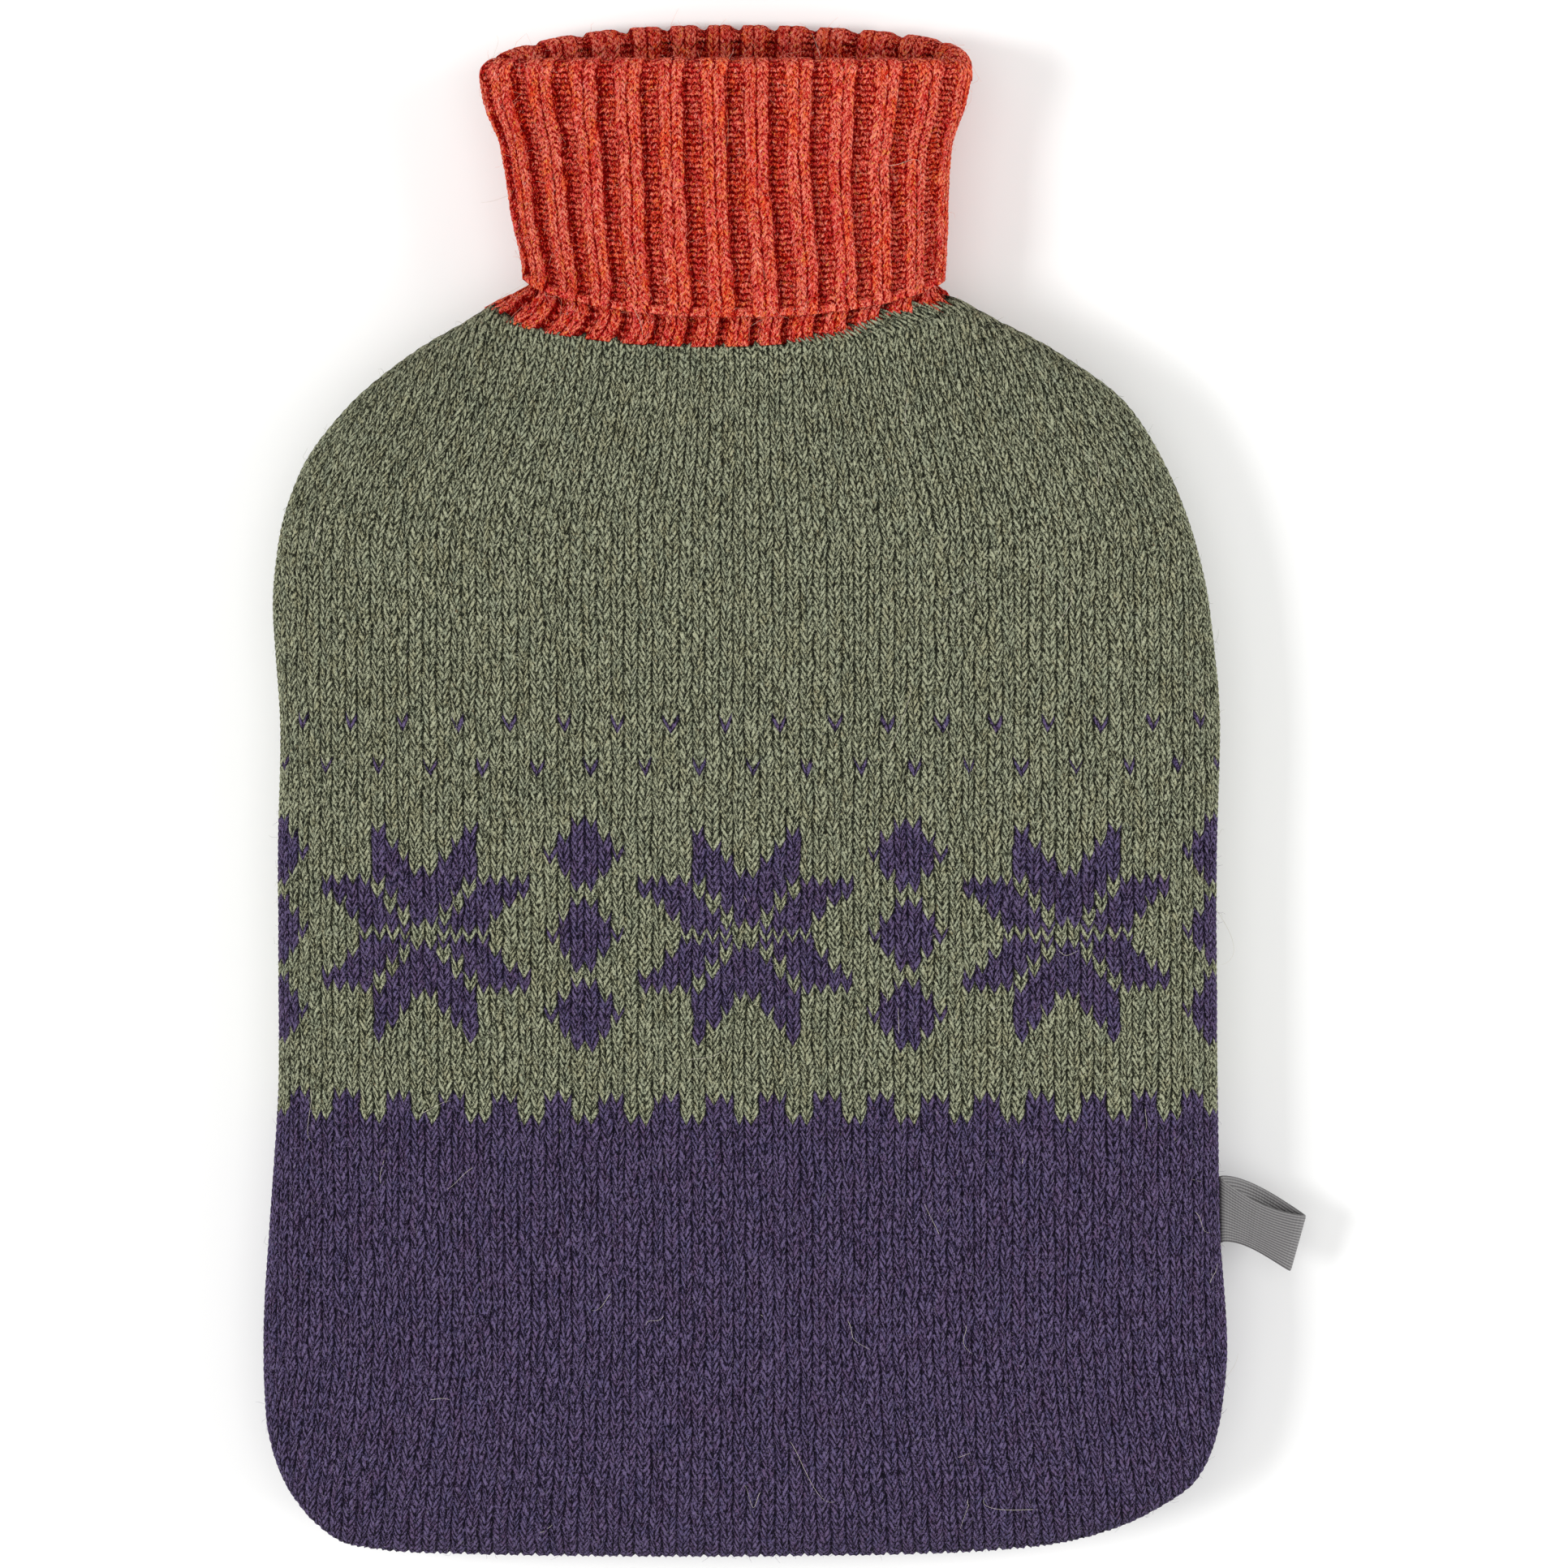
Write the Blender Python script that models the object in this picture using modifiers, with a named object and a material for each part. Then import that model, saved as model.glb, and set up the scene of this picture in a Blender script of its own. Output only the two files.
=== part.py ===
"""Knitted cover for a two-litre hot water bottle, empty and lying on its back.

+X is the right side, +Y points to the collar and +Z comes out of the front. The origin is the
middle of the flat back, on the surface that the cover lies on.

The body and the neck are one smooth form. A section of it is a ring across the cover, widest at the
side seams, and a table gives the sections from the bottom edge up. The collar's ribbed tube carries
the same form on, folds outwards at the rim and comes down over itself as the turn-down.
"""

import math
from collections import namedtuple

import bmesh
import bpy
import numpy as np

MM = 0.001

# Knit and joins
PANEL_THICKNESS = 2.5 * MM
RIB_THICKNESS = 2.0 * MM
TAPE_THICKNESS = 0.7 * MM
JOIN_GAP = 0.3 * MM
NECK_JOIN_GAP = 0.4 * MM
FLOOR_CLEARANCE = 0.2 * MM

# Body, whose side seam runs all round it between the neck and the neck
BOTTOM_Y = -166.3 * MM
BOTTOM_SAG = 1.2 * MM
SEAM_BAND = 1.6 * MM
FRONT_EDGE_LENGTH = 95 * MM
BACK_EDGE_LENGTH = 70 * MM
EDGE_POWER = 2.6
SAG_POWER = 1.5
NECK_JOIN_Y = 105.3 * MM

# Distances from the body's axis to the side seams, in millimetres.
Seam = namedtuple("Seam", "y left right")
SEAMS = [
    Seam(-166.3, -78.0, 50.0),
    Seam(-164.3, -87.6, 67.8),
    Seam(-160.7, -93.0, 80.7),
    Seam(-157.1, -96.6, 88.5),
    Seam(-149.9, -101.1, 98.2),
    Seam(-142.8, -103.6, 101.7),
    Seam(-135.6, -104.8, 103.4),
    Seam(-121.4, -105.2, 104.6),
    Seam(-93.0, -103.6, 102.8),
    Seam(-57.0, -101.4, 102.1),
    Seam(-15.0, -101.4, 101.7),
    Seam(13.0, -100.7, 102.3),
    Seam(41.3, -102.1, 99.7),
    Seam(55.3, -100.6, 96.4),
    Seam(69.2, -96.0, 90.9),
    Seam(83.2, -85.7, 82.3),
    Seam(95.4, -70.7, 66.2),
    Seam(105.3, -53.2, 46.5),
]

# How the body swells, in millimetres: the height of the seam, how far the front rises above it and
# the back drops below it, and how far the middle of a row hangs towards the bottom at front and back.
# The powers give the ring's shape: 2 is an ellipse, and more is a flatter panel with tighter sides.
Swell = namedtuple("Swell", "y seam_z rise drop front_power back_power front_sag back_sag")
SWELLS = [
    Swell(-166.3, 17.0, 20.6, 18.2, 2.6, 3.2, 0.0, 0.0),
    Swell(60.0, 17.0, 20.6, 18.2, 2.6, 3.2, 0.0, 0.0),
    Swell(78.0, 17.4, 19.6, 18.2, 2.5, 3.0, 2.0, 1.4),
    Swell(92.0, 18.3, 17.8, 17.2, 2.35, 2.6, 5.4, 4.0),
    Swell(105.3, 19.25, 16.25, 16.25, 2.2, 2.2, 9.1, 7.0),
]

# Soft hollow in the front, left of the middle just below the collar, in millimetres.
Hollow = namedtuple("Hollow", "x y half_width half_height depth")
HOLLOWS = [
    Hollow(-24.0, 84.0, 30.0, 11.0, 1.5),
    Hollow(30.0, 88.0, 18.0, 8.0, 0.8),
]

# Collar: the outer face of its inner tube, from the neck join to the rim, in millimetres.
# A sag below nought lifts the middle of the ring, as the back of the rim is.
Ring = namedtuple("Ring", "y middle_x centre_z half_width half_depth front_sag back_sag rib")
INNER_RINGS = [
    Ring(105.3, -3.35, 19.25, 49.85, 16.25, 9.1, 7.0, 0.15),
    Ring(107.6, -3.0, 19.7, 45.2, 16.1, 8.6, 6.6, 0.3),
    Ring(109.2, -2.7, 20.1, 42.0, 16.0, 8.3, 6.2, 0.5),
    Ring(113.0, -2.6, 20.3, 41.2, 16.0, 7.6, 5.0, 0.6),
    Ring(126.0, -3.6, 20.6, 42.7, 16.4, 4.8, 0.6, 0.6),
    Ring(139.0, -4.1, 21.2, 44.5, 16.9, 2.4, -4.0, 0.6),
    Ring(148.0, -4.3, 21.6, 47.0, 17.3, 1.0, -7.2, 0.55),
    Ring(153.7, -4.2, 21.7, 47.9, 17.4, 0.5, -9.1, 0.35),
]
HEM_Y = 110.2
HEM_BACK_SAG = 4.0
HEM_FRONT_SAG = 7.8
TURN_DOWN_ROWS = 5
LAYER_GAP = 1.5 * MM
RIM_ROWS = 3
RING_POWER = 2.2
RIB_COUNT = 25
WALES_PER_RIB = (1, 1, -1, -1)

# Side label: a bare tape loop sewn into the right seam, given by its corners as seen from above.
Corner = namedtuple("Corner", "x y z")
TAPE_ROOT_TOP = Corner(102.75, -84.0, 17.0)
TAPE_ROOT_BOTTOM = Corner(103.0, -98.3, 17.0)
TAPE_TIP_TOP = Corner(121.6, -92.8, 13.6)
TAPE_TIP_BOTTOM = Corner(118.4, -105.2, 12.4)
TAPE_ROOT_HALF_GAP = 0.55 * MM
TAPE_HALF_GAP = 1.45 * MM
TAPE_ROWS = 8
TAPE_WIDTH_STEPS = 4
TAPE_ARCH = 1.2 * MM

# Mesh density
PANEL_COLUMNS = 18
BOTTOM_ROWS = 8
BODY_ROWS = 8
SHOULDER_ROWS = 10
BOTTOM_ZONE = 38 * MM
SHOULDER_Y = 38 * MM
RING_SAMPLES = 720

WELD_DISTANCE = 0.00001

GREEN_WOOL = "#6D6F5C"
PURPLE_WOOL = "#413750"
RED_WOOL = "#B44136"
GREY_TAPE = "#979695"


def clear_scene():
    """Removes every object of the scene that the script starts in."""
    for leftover in list(bpy.data.objects):
        bpy.data.objects.remove(leftover, do_unlink=True)


def linear_colour(code):
    """Linear RGBA of an sRGB hex code."""
    channels = [int(code[start : start + 2], 16) / 255 for start in (1, 3, 5)]
    linear = [c / 12.92 if c <= 0.04045 else ((c + 0.055) / 1.055) ** 2.4 for c in channels]
    return (*linear, 1.0)


def cloth_material(name, code, roughness):
    """Principled material of one cloth."""
    material = bpy.data.materials.new(name)
    material.use_nodes = True
    shader = material.node_tree.nodes["Principled BSDF"]
    shader.inputs["Base Color"].default_value = linear_colour(code)
    shader.inputs["Roughness"].default_value = roughness
    shader.inputs["Metallic"].default_value = 0.0
    material.diffuse_color = linear_colour(code)
    return material


def follow(table, column, at):
    """Value of a table's column at a given y, on a smooth curve that never overshoots its rows."""
    heights = np.array([row.y for row in table])
    values = np.array([getattr(row, column) for row in table])
    widths = np.diff(heights)
    slopes = np.diff(values) / widths
    tangents = np.zeros(len(values))
    tangents[0] = slopes[0]
    tangents[-1] = slopes[-1]
    for index in range(1, len(values) - 1):
        below, above = slopes[index - 1], slopes[index]
        if below * above > 0:
            tangents[index] = 2 * below * above / (below + above)
    place = int(np.clip(np.searchsorted(heights, at) - 1, 0, len(widths) - 1))
    part = float(np.clip((at - heights[place]) / widths[place], 0, 1))
    start = (1 + 2 * part) * (1 - part) ** 2
    start_slope = part * (1 - part) ** 2
    end = part**2 * (3 - 2 * part)
    end_slope = part**2 * (part - 1)
    return (
        start * values[place]
        + start_slope * widths[place] * tangents[place]
        + end * values[place + 1]
        + end_slope * widths[place] * tangents[place + 1]
    )


def swelling(distance, length):
    """0 at an edge and 1 past the length of its swelling, steep at first."""
    left = max(0.0, 1 - distance / length)
    return (1 - left**EDGE_POWER) ** (1 / EDGE_POWER)


def arc_points(half_width, half_depth, power, start, end, fractions):
    """(x, z) on a rounded ring between two angles, at the given fractions of the way along it."""
    angles = np.linspace(start, end, RING_SAMPLES)
    cosines, sines = np.cos(angles), np.sin(angles)
    xs = half_width * np.sign(cosines) * np.abs(cosines) ** (2 / power)
    zs = half_depth * np.sign(sines) * np.abs(sines) ** (2 / power)
    steps = np.hypot(np.diff(xs), np.diff(zs))
    lengths = np.concatenate([[0.0], np.cumsum(steps)])
    wanted = np.array(fractions) * lengths[-1]
    return np.interp(wanted, lengths, xs), np.interp(wanted, lengths, zs)


def hollow_depth(x, y):
    """How far the soft hollows lower the front at a place."""
    total = 0.0
    for hollow in HOLLOWS:
        across = (x / MM - hollow.x) / hollow.half_width
        along = (y / MM - hollow.y) / hollow.half_height
        total += hollow.depth * math.exp(-(across**2) - along**2)
    return total * MM


def body_row(y, is_front):
    """One row of a panel's outer face, from seam to seam, with its upright band at both seams."""
    at = y / MM
    left = follow(SEAMS, "left", at) * MM
    right = follow(SEAMS, "right", at) * MM
    seam_z = follow(SWELLS, "seam_z", at) * MM
    above_bottom = y - BOTTOM_Y
    if is_front:
        depth = (follow(SWELLS, "rise", at) * MM - SEAM_BAND) * swelling(above_bottom, FRONT_EDGE_LENGTH)
        power = follow(SWELLS, "front_power", at)
        sag = follow(SWELLS, "front_sag", at) * MM
        side, start, end = 1, 0.0, math.pi
    else:
        depth = (follow(SWELLS, "drop", at) * MM - SEAM_BAND) * swelling(above_bottom, BACK_EDGE_LENGTH)
        power = follow(SWELLS, "back_power", at)
        sag = follow(SWELLS, "back_sag", at) * MM
        side, start, end = -1, math.pi, 2 * math.pi
    bottom_sag = BOTTOM_SAG * (1 - swelling(above_bottom, BOTTOM_ZONE))
    middle, half_width = (left + right) / 2, (right - left) / 2
    fractions = [(1 - math.cos(math.pi * step / PANEL_COLUMNS)) / 2 for step in range(PANEL_COLUMNS + 1)]
    # A nearly flat ring still needs a length along it, hence the small least depth.
    xs, zs = arc_points(half_width, max(depth, 0.01 * MM), power, start, end, fractions)
    points = []
    for x, z in zip(xs, zs):
        swell = abs(z) / max(depth, 0.01 * MM)
        inward = 1 - abs(x / half_width) ** 2
        lowered = sag * swell**SAG_POWER + bottom_sag * inward
        height = seam_z + side * (SEAM_BAND + swell * depth)
        place_x, place_y = middle + x, y - lowered
        if is_front:
            height -= hollow_depth(place_x, place_y) * swell
        points.append((place_x, place_y, max(height, 0.0)))
    low = seam_z + side * JOIN_GAP / 2
    first = (points[0][0], points[0][1], low)
    last = (points[-1][0], points[-1][1], low)
    return [first, *points, last]


def panel_heights():
    """The rows' y, close together at the bottom edge and over the shoulders."""
    zone = [
        BOTTOM_Y + BOTTOM_ZONE * (1 - math.cos(math.pi / 2 * step / BOTTOM_ROWS)) for step in range(BOTTOM_ROWS)
    ]
    straight = np.linspace(BOTTOM_Y + BOTTOM_ZONE, SHOULDER_Y, BODY_ROWS, endpoint=False)
    shoulder = np.linspace(SHOULDER_Y, NECK_JOIN_Y - NECK_JOIN_GAP / 2, SHOULDER_ROWS)
    return [*zone, *straight, *shoulder]


def panel_rows(is_front):
    """Rows of a panel's outer face. The first is the foot of the upright band along the bottom."""
    rows = [body_row(y, is_front) for y in panel_heights()]
    low = rows[0][0][2]
    foot = [(x, y, low) for x, y, _ in rows[0]]
    return [foot, *rows]


def ring_points(ring):
    """One closed ring of the collar, with a point on every wale, ribs raised towards its outer face."""
    count = RIB_COUNT * len(WALES_PER_RIB)
    fractions = [(index + 0.5) / count for index in range(count)]
    half_width, half_depth = ring.half_width * MM, ring.half_depth * MM
    xs, zs = arc_points(half_width, half_depth, RING_POWER, 0.0, 2 * math.pi, fractions)
    points = []
    for index, (x, z) in enumerate(zip(xs, zs)):
        raised = ring.rib * MM * WALES_PER_RIB[index % len(WALES_PER_RIB)]
        outward = np.array([x / half_width**2, z / half_depth**2])
        outward /= np.linalg.norm(outward)
        sag = ring.front_sag if z > 0 else ring.back_sag
        y = (ring.y - sag * (abs(z) / half_depth) ** SAG_POWER) * MM
        points.append((ring.middle_x * MM + x + raised * outward[0], y, ring.centre_z * MM + z + raised * outward[1]))
    return points


def inner_ring(y, gap=0.0, **changes):
    """A ring at a height of the collar, a gap outside its inner tube, with some columns set apart."""
    values = {name: follow(INNER_RINGS, name, y) for name in Ring._fields if name != "y"}
    values["half_width"] += gap / MM
    values["half_depth"] += gap / MM
    return Ring(y, **{**values, **changes})


def collar_rows():
    """Rings of the ribbed cloth's one face: up the inner tube, round the rim and down the turn-down."""
    first = INNER_RINGS[0]
    rings = [first._replace(y=first.y + NECK_JOIN_GAP / MM / 2), *INNER_RINGS[1:]]
    rim = INNER_RINGS[-1]
    radius = LAYER_GAP / 2
    for step in range(1, RIM_ROWS + 1):
        angle = math.pi * step / (RIM_ROWS + 1)
        rings.append(inner_ring(rim.y, radius * (1 - math.cos(angle)))._replace(y=rim.y + radius / MM * math.sin(angle)))
    for y in np.linspace(rim.y, HEM_Y, TURN_DOWN_ROWS + 1):
        part = (rim.y - y) / (rim.y - HEM_Y)
        rings.append(
            inner_ring(
                y,
                LAYER_GAP,
                front_sag=rim.front_sag + (HEM_FRONT_SAG - rim.front_sag) * part,
                back_sag=rim.back_sag + (HEM_BACK_SAG - rim.back_sag) * part,
            )
        )
    return [ring_points(ring) for ring in rings]


def label_rows():
    """Rows across the tape, out along its upper layer, round the tip and back under it."""
    corners = [np.array(c) * MM for c in (TAPE_ROOT_TOP, TAPE_ROOT_BOTTOM, TAPE_TIP_TOP, TAPE_TIP_BOTTOM)]
    root_top, root_bottom, tip_top, tip_bottom = corners
    clear = np.array([JOIN_GAP, 0, 0])
    upper = []
    for step in range(TAPE_ROWS + 1):
        along = 1 - (1 - step / TAPE_ROWS) ** 1.5
        opened = math.sin(math.pi * min(1.0, along * 0.72 + 0.06)) if step else 0.0
        half_gap = TAPE_ROOT_HALF_GAP + (TAPE_HALF_GAP - TAPE_ROOT_HALF_GAP) * opened
        if step == TAPE_ROWS:
            half_gap = 0.0
        upper.append((along, half_gap))
    path = [*upper, *[(along, -half_gap) for along, half_gap in reversed(upper[:-1])]]
    rows = []
    for along, half_gap in path:
        row = []
        for step in range(TAPE_WIDTH_STEPS + 1):
            across = step / TAPE_WIDTH_STEPS
            root = root_top + (root_bottom - root_top) * across + clear
            tip = tip_top + (tip_bottom - tip_top) * across
            point = root + (tip - root) * along
            point[2] += half_gap + TAPE_ARCH * math.sin(math.pi * along)
            row.append(tuple(point))
        rows.append(row)
    return rows


def loft(rows, is_ring):
    """Open surface between rows of points, each row above the one before it."""
    surface = bmesh.new()
    placed = [[surface.verts.new(point) for point in row] for row in rows]
    for lower, upper in zip(placed, placed[1:]):
        count = len(lower)
        for index in range(count if is_ring else count - 1):
            after = (index + 1) % count
            surface.faces.new((lower[index], upper[index], upper[after], lower[after]))
    bmesh.ops.remove_doubles(surface, verts=surface.verts, dist=WELD_DISTANCE)
    bmesh.ops.dissolve_degenerate(surface, edges=surface.edges, dist=WELD_DISTANCE)
    return surface


def cloth_piece(name, surface, thickness, offset, material, collection):
    """A sheet of cloth as a named object: the open surface and a Solidify modifier."""
    mesh = bpy.data.meshes.new(name)
    surface.to_mesh(mesh)
    surface.free()
    mesh.materials.append(material)
    mesh.shade_smooth()
    piece = bpy.data.objects.new(name, mesh)
    collection.objects.link(piece)
    solid = piece.modifiers.new("cloth thickness", "SOLIDIFY")
    solid.thickness = thickness
    solid.offset = offset
    solid.use_even_offset = False
    solid.use_quality_normals = True
    return piece


def build_cover():
    """Builds the cover's four pieces."""
    collection = bpy.data.collections.new("hot_water_bottle_cover")
    bpy.context.scene.collection.children.link(collection)
    green = cloth_material("green_wool_knit", GREEN_WOOL, 0.95)
    purple = cloth_material("purple_wool_knit", PURPLE_WOOL, 0.95)
    red = cloth_material("red_wool_rib", RED_WOOL, 0.95)
    grey = cloth_material("grey_woven_tape", GREY_TAPE, 0.8)
    cloth_piece("front_panel", loft(panel_rows(True), False), PANEL_THICKNESS, -1, green, collection)
    cloth_piece("back_panel", loft(panel_rows(False), False), PANEL_THICKNESS, -1, purple, collection)
    cloth_piece("rib_collar", loft(collar_rows(), True), RIB_THICKNESS, -1, red, collection)
    cloth_piece("side_label", loft(label_rows(), False), TAPE_THICKNESS, 0, grey, collection)


clear_scene()
build_cover()
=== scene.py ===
"""Looks of a knitted cover for a hot water bottle, empty and lying on its back.

+X is the side with the tape loop, +Y points to the collar and +Z comes out of the front. The panels
are stocking stitch in fulled lambswool, knitted stitch by stitch over the body's own form: every
stitch is a V of two raised legs. The collar is a two-by-two rib, turned down over itself.
"""

import logging
import math
from collections.abc import Callable
from dataclasses import dataclass, replace
from enum import Enum
from functools import partial

import bmesh
import bpy
import numpy as np
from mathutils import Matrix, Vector


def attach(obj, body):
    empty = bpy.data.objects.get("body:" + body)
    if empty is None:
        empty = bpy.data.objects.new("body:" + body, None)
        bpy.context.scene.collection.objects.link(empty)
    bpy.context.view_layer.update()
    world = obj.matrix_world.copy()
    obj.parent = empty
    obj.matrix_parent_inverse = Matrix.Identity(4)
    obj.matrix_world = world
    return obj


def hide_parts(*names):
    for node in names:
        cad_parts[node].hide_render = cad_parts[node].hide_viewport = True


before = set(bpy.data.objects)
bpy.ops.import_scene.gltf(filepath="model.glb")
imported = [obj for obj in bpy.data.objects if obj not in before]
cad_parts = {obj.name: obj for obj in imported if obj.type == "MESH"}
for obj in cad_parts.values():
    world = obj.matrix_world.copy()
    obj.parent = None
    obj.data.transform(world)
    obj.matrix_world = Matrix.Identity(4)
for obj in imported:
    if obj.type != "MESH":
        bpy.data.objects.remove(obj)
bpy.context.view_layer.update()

LOG = logging.getLogger("hot_water_bottle_cover")
MM = 0.001
UV_NAME = "stitch"
SAME_PLACE = 1e-7  # metres within which two points are one
EDGE_MARGIN = 0.12  # millimetres inside the outline from which a lattice point stays where it is
FAR = 1e9

Array = np.ndarray
Object = bpy.types.Object
Material = bpy.types.Material
Output = bpy.types.NodeSocket
Adder = Callable[..., Output]


class Side(Enum):
    """The two panels of the body."""

    FRONT = 1
    BACK = -1


class Knit(Enum):
    """How a piece of cloth is knitted."""

    STOCKING_STITCH = "stocking stitch"
    TWO_BY_TWO_RIB = "two-by-two rib"


# Sizes of the body and the collar, in millimetres, as the solids have them


@dataclass(frozen=True)
class Seam:
    """Distances from the body's axis to the two side seams at one height."""

    y: float
    left: float
    right: float


@dataclass(frozen=True)
class Swell:
    """How the body swells at one height: seam height, rise and drop, roundness and sag."""

    y: float
    seam_z: float
    rise: float
    drop: float
    front_power: float
    back_power: float
    front_sag: float
    back_sag: float


@dataclass(frozen=True)
class Hollow:
    """A soft hollow in the front."""

    x: float
    y: float
    half_width: float
    half_height: float
    depth: float


@dataclass(frozen=True)
class Ring:
    """One ring of the collar's inner tube, on its outer face."""

    y: float
    middle_x: float
    centre_z: float
    half_width: float
    half_depth: float
    front_sag: float
    back_sag: float


SEAMS = (
    Seam(-166.3, -78.0, 50.0),
    Seam(-164.3, -87.6, 67.8),
    Seam(-160.7, -93.0, 80.7),
    Seam(-157.1, -96.6, 88.5),
    Seam(-149.9, -101.1, 98.2),
    Seam(-142.8, -103.6, 101.7),
    Seam(-135.6, -104.8, 103.4),
    Seam(-121.4, -105.2, 104.6),
    Seam(-93.0, -103.6, 102.8),
    Seam(-57.0, -101.4, 102.1),
    Seam(-15.0, -101.4, 101.7),
    Seam(13.0, -100.7, 102.3),
    Seam(41.3, -102.1, 99.7),
    Seam(55.3, -100.6, 96.4),
    Seam(69.2, -96.0, 90.9),
    Seam(83.2, -85.7, 82.3),
    Seam(95.4, -70.7, 66.2),
    Seam(105.3, -53.2, 46.5),
)
SWELLS = (
    Swell(-166.3, 17.0, 20.6, 18.2, 2.6, 3.2, 0.0, 0.0),
    Swell(60.0, 17.0, 20.6, 18.2, 2.6, 3.2, 0.0, 0.0),
    Swell(78.0, 17.4, 19.6, 18.2, 2.5, 3.0, 2.0, 1.4),
    Swell(92.0, 18.3, 17.8, 17.2, 2.35, 2.6, 5.4, 4.0),
    Swell(105.3, 19.25, 16.25, 16.25, 2.2, 2.2, 9.1, 7.0),
)
HOLLOWS = (Hollow(-24.0, 84.0, 30.0, 11.0, 1.5), Hollow(30.0, 88.0, 18.0, 8.0, 0.8))
INNER_RINGS = (
    Ring(95.4, -2.25, 18.5, 68.45, 17.4, 6.35, 4.75),
    Ring(105.3, -3.35, 19.25, 49.85, 16.25, 9.1, 7.0),
    Ring(107.6, -3.0, 19.7, 45.2, 16.1, 8.6, 6.6),
    Ring(109.2, -2.6, 20.1, 43.2, 16.0, 8.3, 6.2),
    Ring(113.0, -2.5, 20.3, 42.2, 16.0, 7.6, 5.0),
    Ring(126.0, -3.5, 20.6, 43.1, 16.4, 4.8, 0.6),
    Ring(139.0, -4.1, 21.2, 44.5, 16.9, 2.4, -4.0),
    Ring(148.0, -4.3, 21.6, 47.7, 17.3, 1.0, -6.7),
    Ring(153.7, -4.2, 21.7, 48.8, 17.4, 0.5, -8.3),
)
NECK_Y = 105.3

# Where the line between the body and the collar runs, next to the solids' own: distance from the
# body's axis, and how much higher the line runs there. The cloth pulls it down at the left.
NECK_LINE = (
    (-57.0, -0.8), (-54.0, -1.3), (-51.5, -1.5), (-42.0, -1.4), (-34.0, -1.0), (-12.0, -0.8),
    (0.0, -0.6), (8.0, -0.3), (14.0, 0.5), (24.0, 0.9), (31.5, 1.8), (34.5, 2.4), (41.0, 2.5),
    (43.0, 1.4), (46.5, 0.0), (54.0, -0.3),
)


def follow(table: tuple, y: float, *columns: str) -> Array:
    """Reads columns of a table at one height, on smooth curves that never overshoot its rows.

    Args:
        table: rows with a y, from the lowest up.
        y: height in millimetres.
        columns: names of the values to read.

    Returns:
        The values at that height.
    """
    heights = np.array([row.y for row in table])
    values = np.array([[getattr(row, column) for column in columns] for row in table])
    widths = np.diff(heights)
    slopes = np.diff(values, axis=0) / widths[:, None]
    tangents = np.zeros(values.shape)
    tangents[0], tangents[-1] = slopes[0], slopes[-1]
    below, above = slopes[:-1], slopes[1:]
    rising = below * above > 0
    tangents[1:-1][rising] = 2 * below[rising] * above[rising] / (below + above)[rising]
    at = np.array([[y]])
    place = np.clip(np.searchsorted(heights, at[:, 0]) - 1, 0, len(widths) - 1)
    width = widths[place][:, None]
    part = np.clip((at - heights[place][:, None]) / width, 0, 1)
    curve = (
        (1 + 2 * part) * (1 - part) ** 2 * values[place]
        + part * (1 - part) ** 2 * width * tangents[place]
        + part**2 * (3 - 2 * part) * values[place + 1]
        + part**2 * (part - 1) * width * tangents[place + 1]
    )
    return curve[0]


def neck_shift(x: Array) -> Array:
    """How much higher than the solids' the neck line runs, in millimetres."""
    return np.interp(x, *np.array(NECK_LINE).T)


def smooth_step(low: float, high: float, value: Array) -> Array:
    """Goes smoothly from 0 at low to 1 at high."""
    part = np.clip((value - low) / (high - low), 0, 1)
    return part * part * (3 - 2 * part)


def signed_power(value: Array, power: float) -> Array:
    """Sine or cosine bent so that two of them draw a fuller oval."""
    return np.sign(value) * np.abs(value) ** (2 / power)


def running_total(steps: Array) -> Array:
    """Lengths along a line of steps, from 0."""
    return np.concatenate([[0.0], np.cumsum(steps)])


def blend(lattice: Array, top: Array, left: Array, down: Array, right: Array) -> Array:
    """Blends the corners of a lattice's cells.

    Args:
        lattice: rows x columns, with or without vectors.
        top: row of each cell's first corner.
        left: column of that corner.
        down: how far from it to the next row, from 0 to 1.
        right: how far to the next column.

    Returns:
        The blended values.
    """
    upper = lattice[top, left] * (1 - right) + lattice[top, left + 1] * right
    lower = lattice[top + 1, left] * (1 - right) + lattice[top + 1, left + 1] * right
    return upper * (1 - down) + lower * down


def smooth_noise(rng: np.random.Generator, shape: tuple[int, int], cell: float) -> Array:
    """Smooth uneven surface over a lattice, within about -1 to 1.

    Args:
        rng: seeded source of the unevenness.
        shape: rows and columns of the lattice.
        cell: how many rows or columns one wave takes.

    Returns:
        The values over the lattice.
    """
    coarse = rng.uniform(-1, 1, (int(shape[0] / cell) + 3, int(shape[1] / cell) + 3))
    rows, columns = np.indices(shape) / cell
    top, left = np.floor(rows).astype(int), np.floor(columns).astype(int)
    return blend(coarse, top, left, smooth_step(0, 1, rows - top), smooth_step(0, 1, columns - left))


def read_lattice(lattice: Array, rows: Array, columns: Array) -> Array:
    """Reads a lattice of vectors between its points.

    Args:
        lattice: rows x columns x 3.
        rows: fractional row numbers.
        columns: fractional column numbers.

    Returns:
        The blended vectors.
    """
    top = np.clip(np.floor(rows).astype(int), 0, lattice.shape[0] - 2)
    left = np.clip(np.floor(columns).astype(int), 0, lattice.shape[1] - 2)
    return blend(
        lattice, top, left, np.clip(rows - top, 0, 1)[..., None], np.clip(columns - left, 0, 1)[..., None]
    )


def unit(vectors: Array) -> Array:
    """The vectors at a length of 1."""
    return vectors / np.maximum(np.linalg.norm(vectors, axis=2, keepdims=True), 1e-12)


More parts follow.
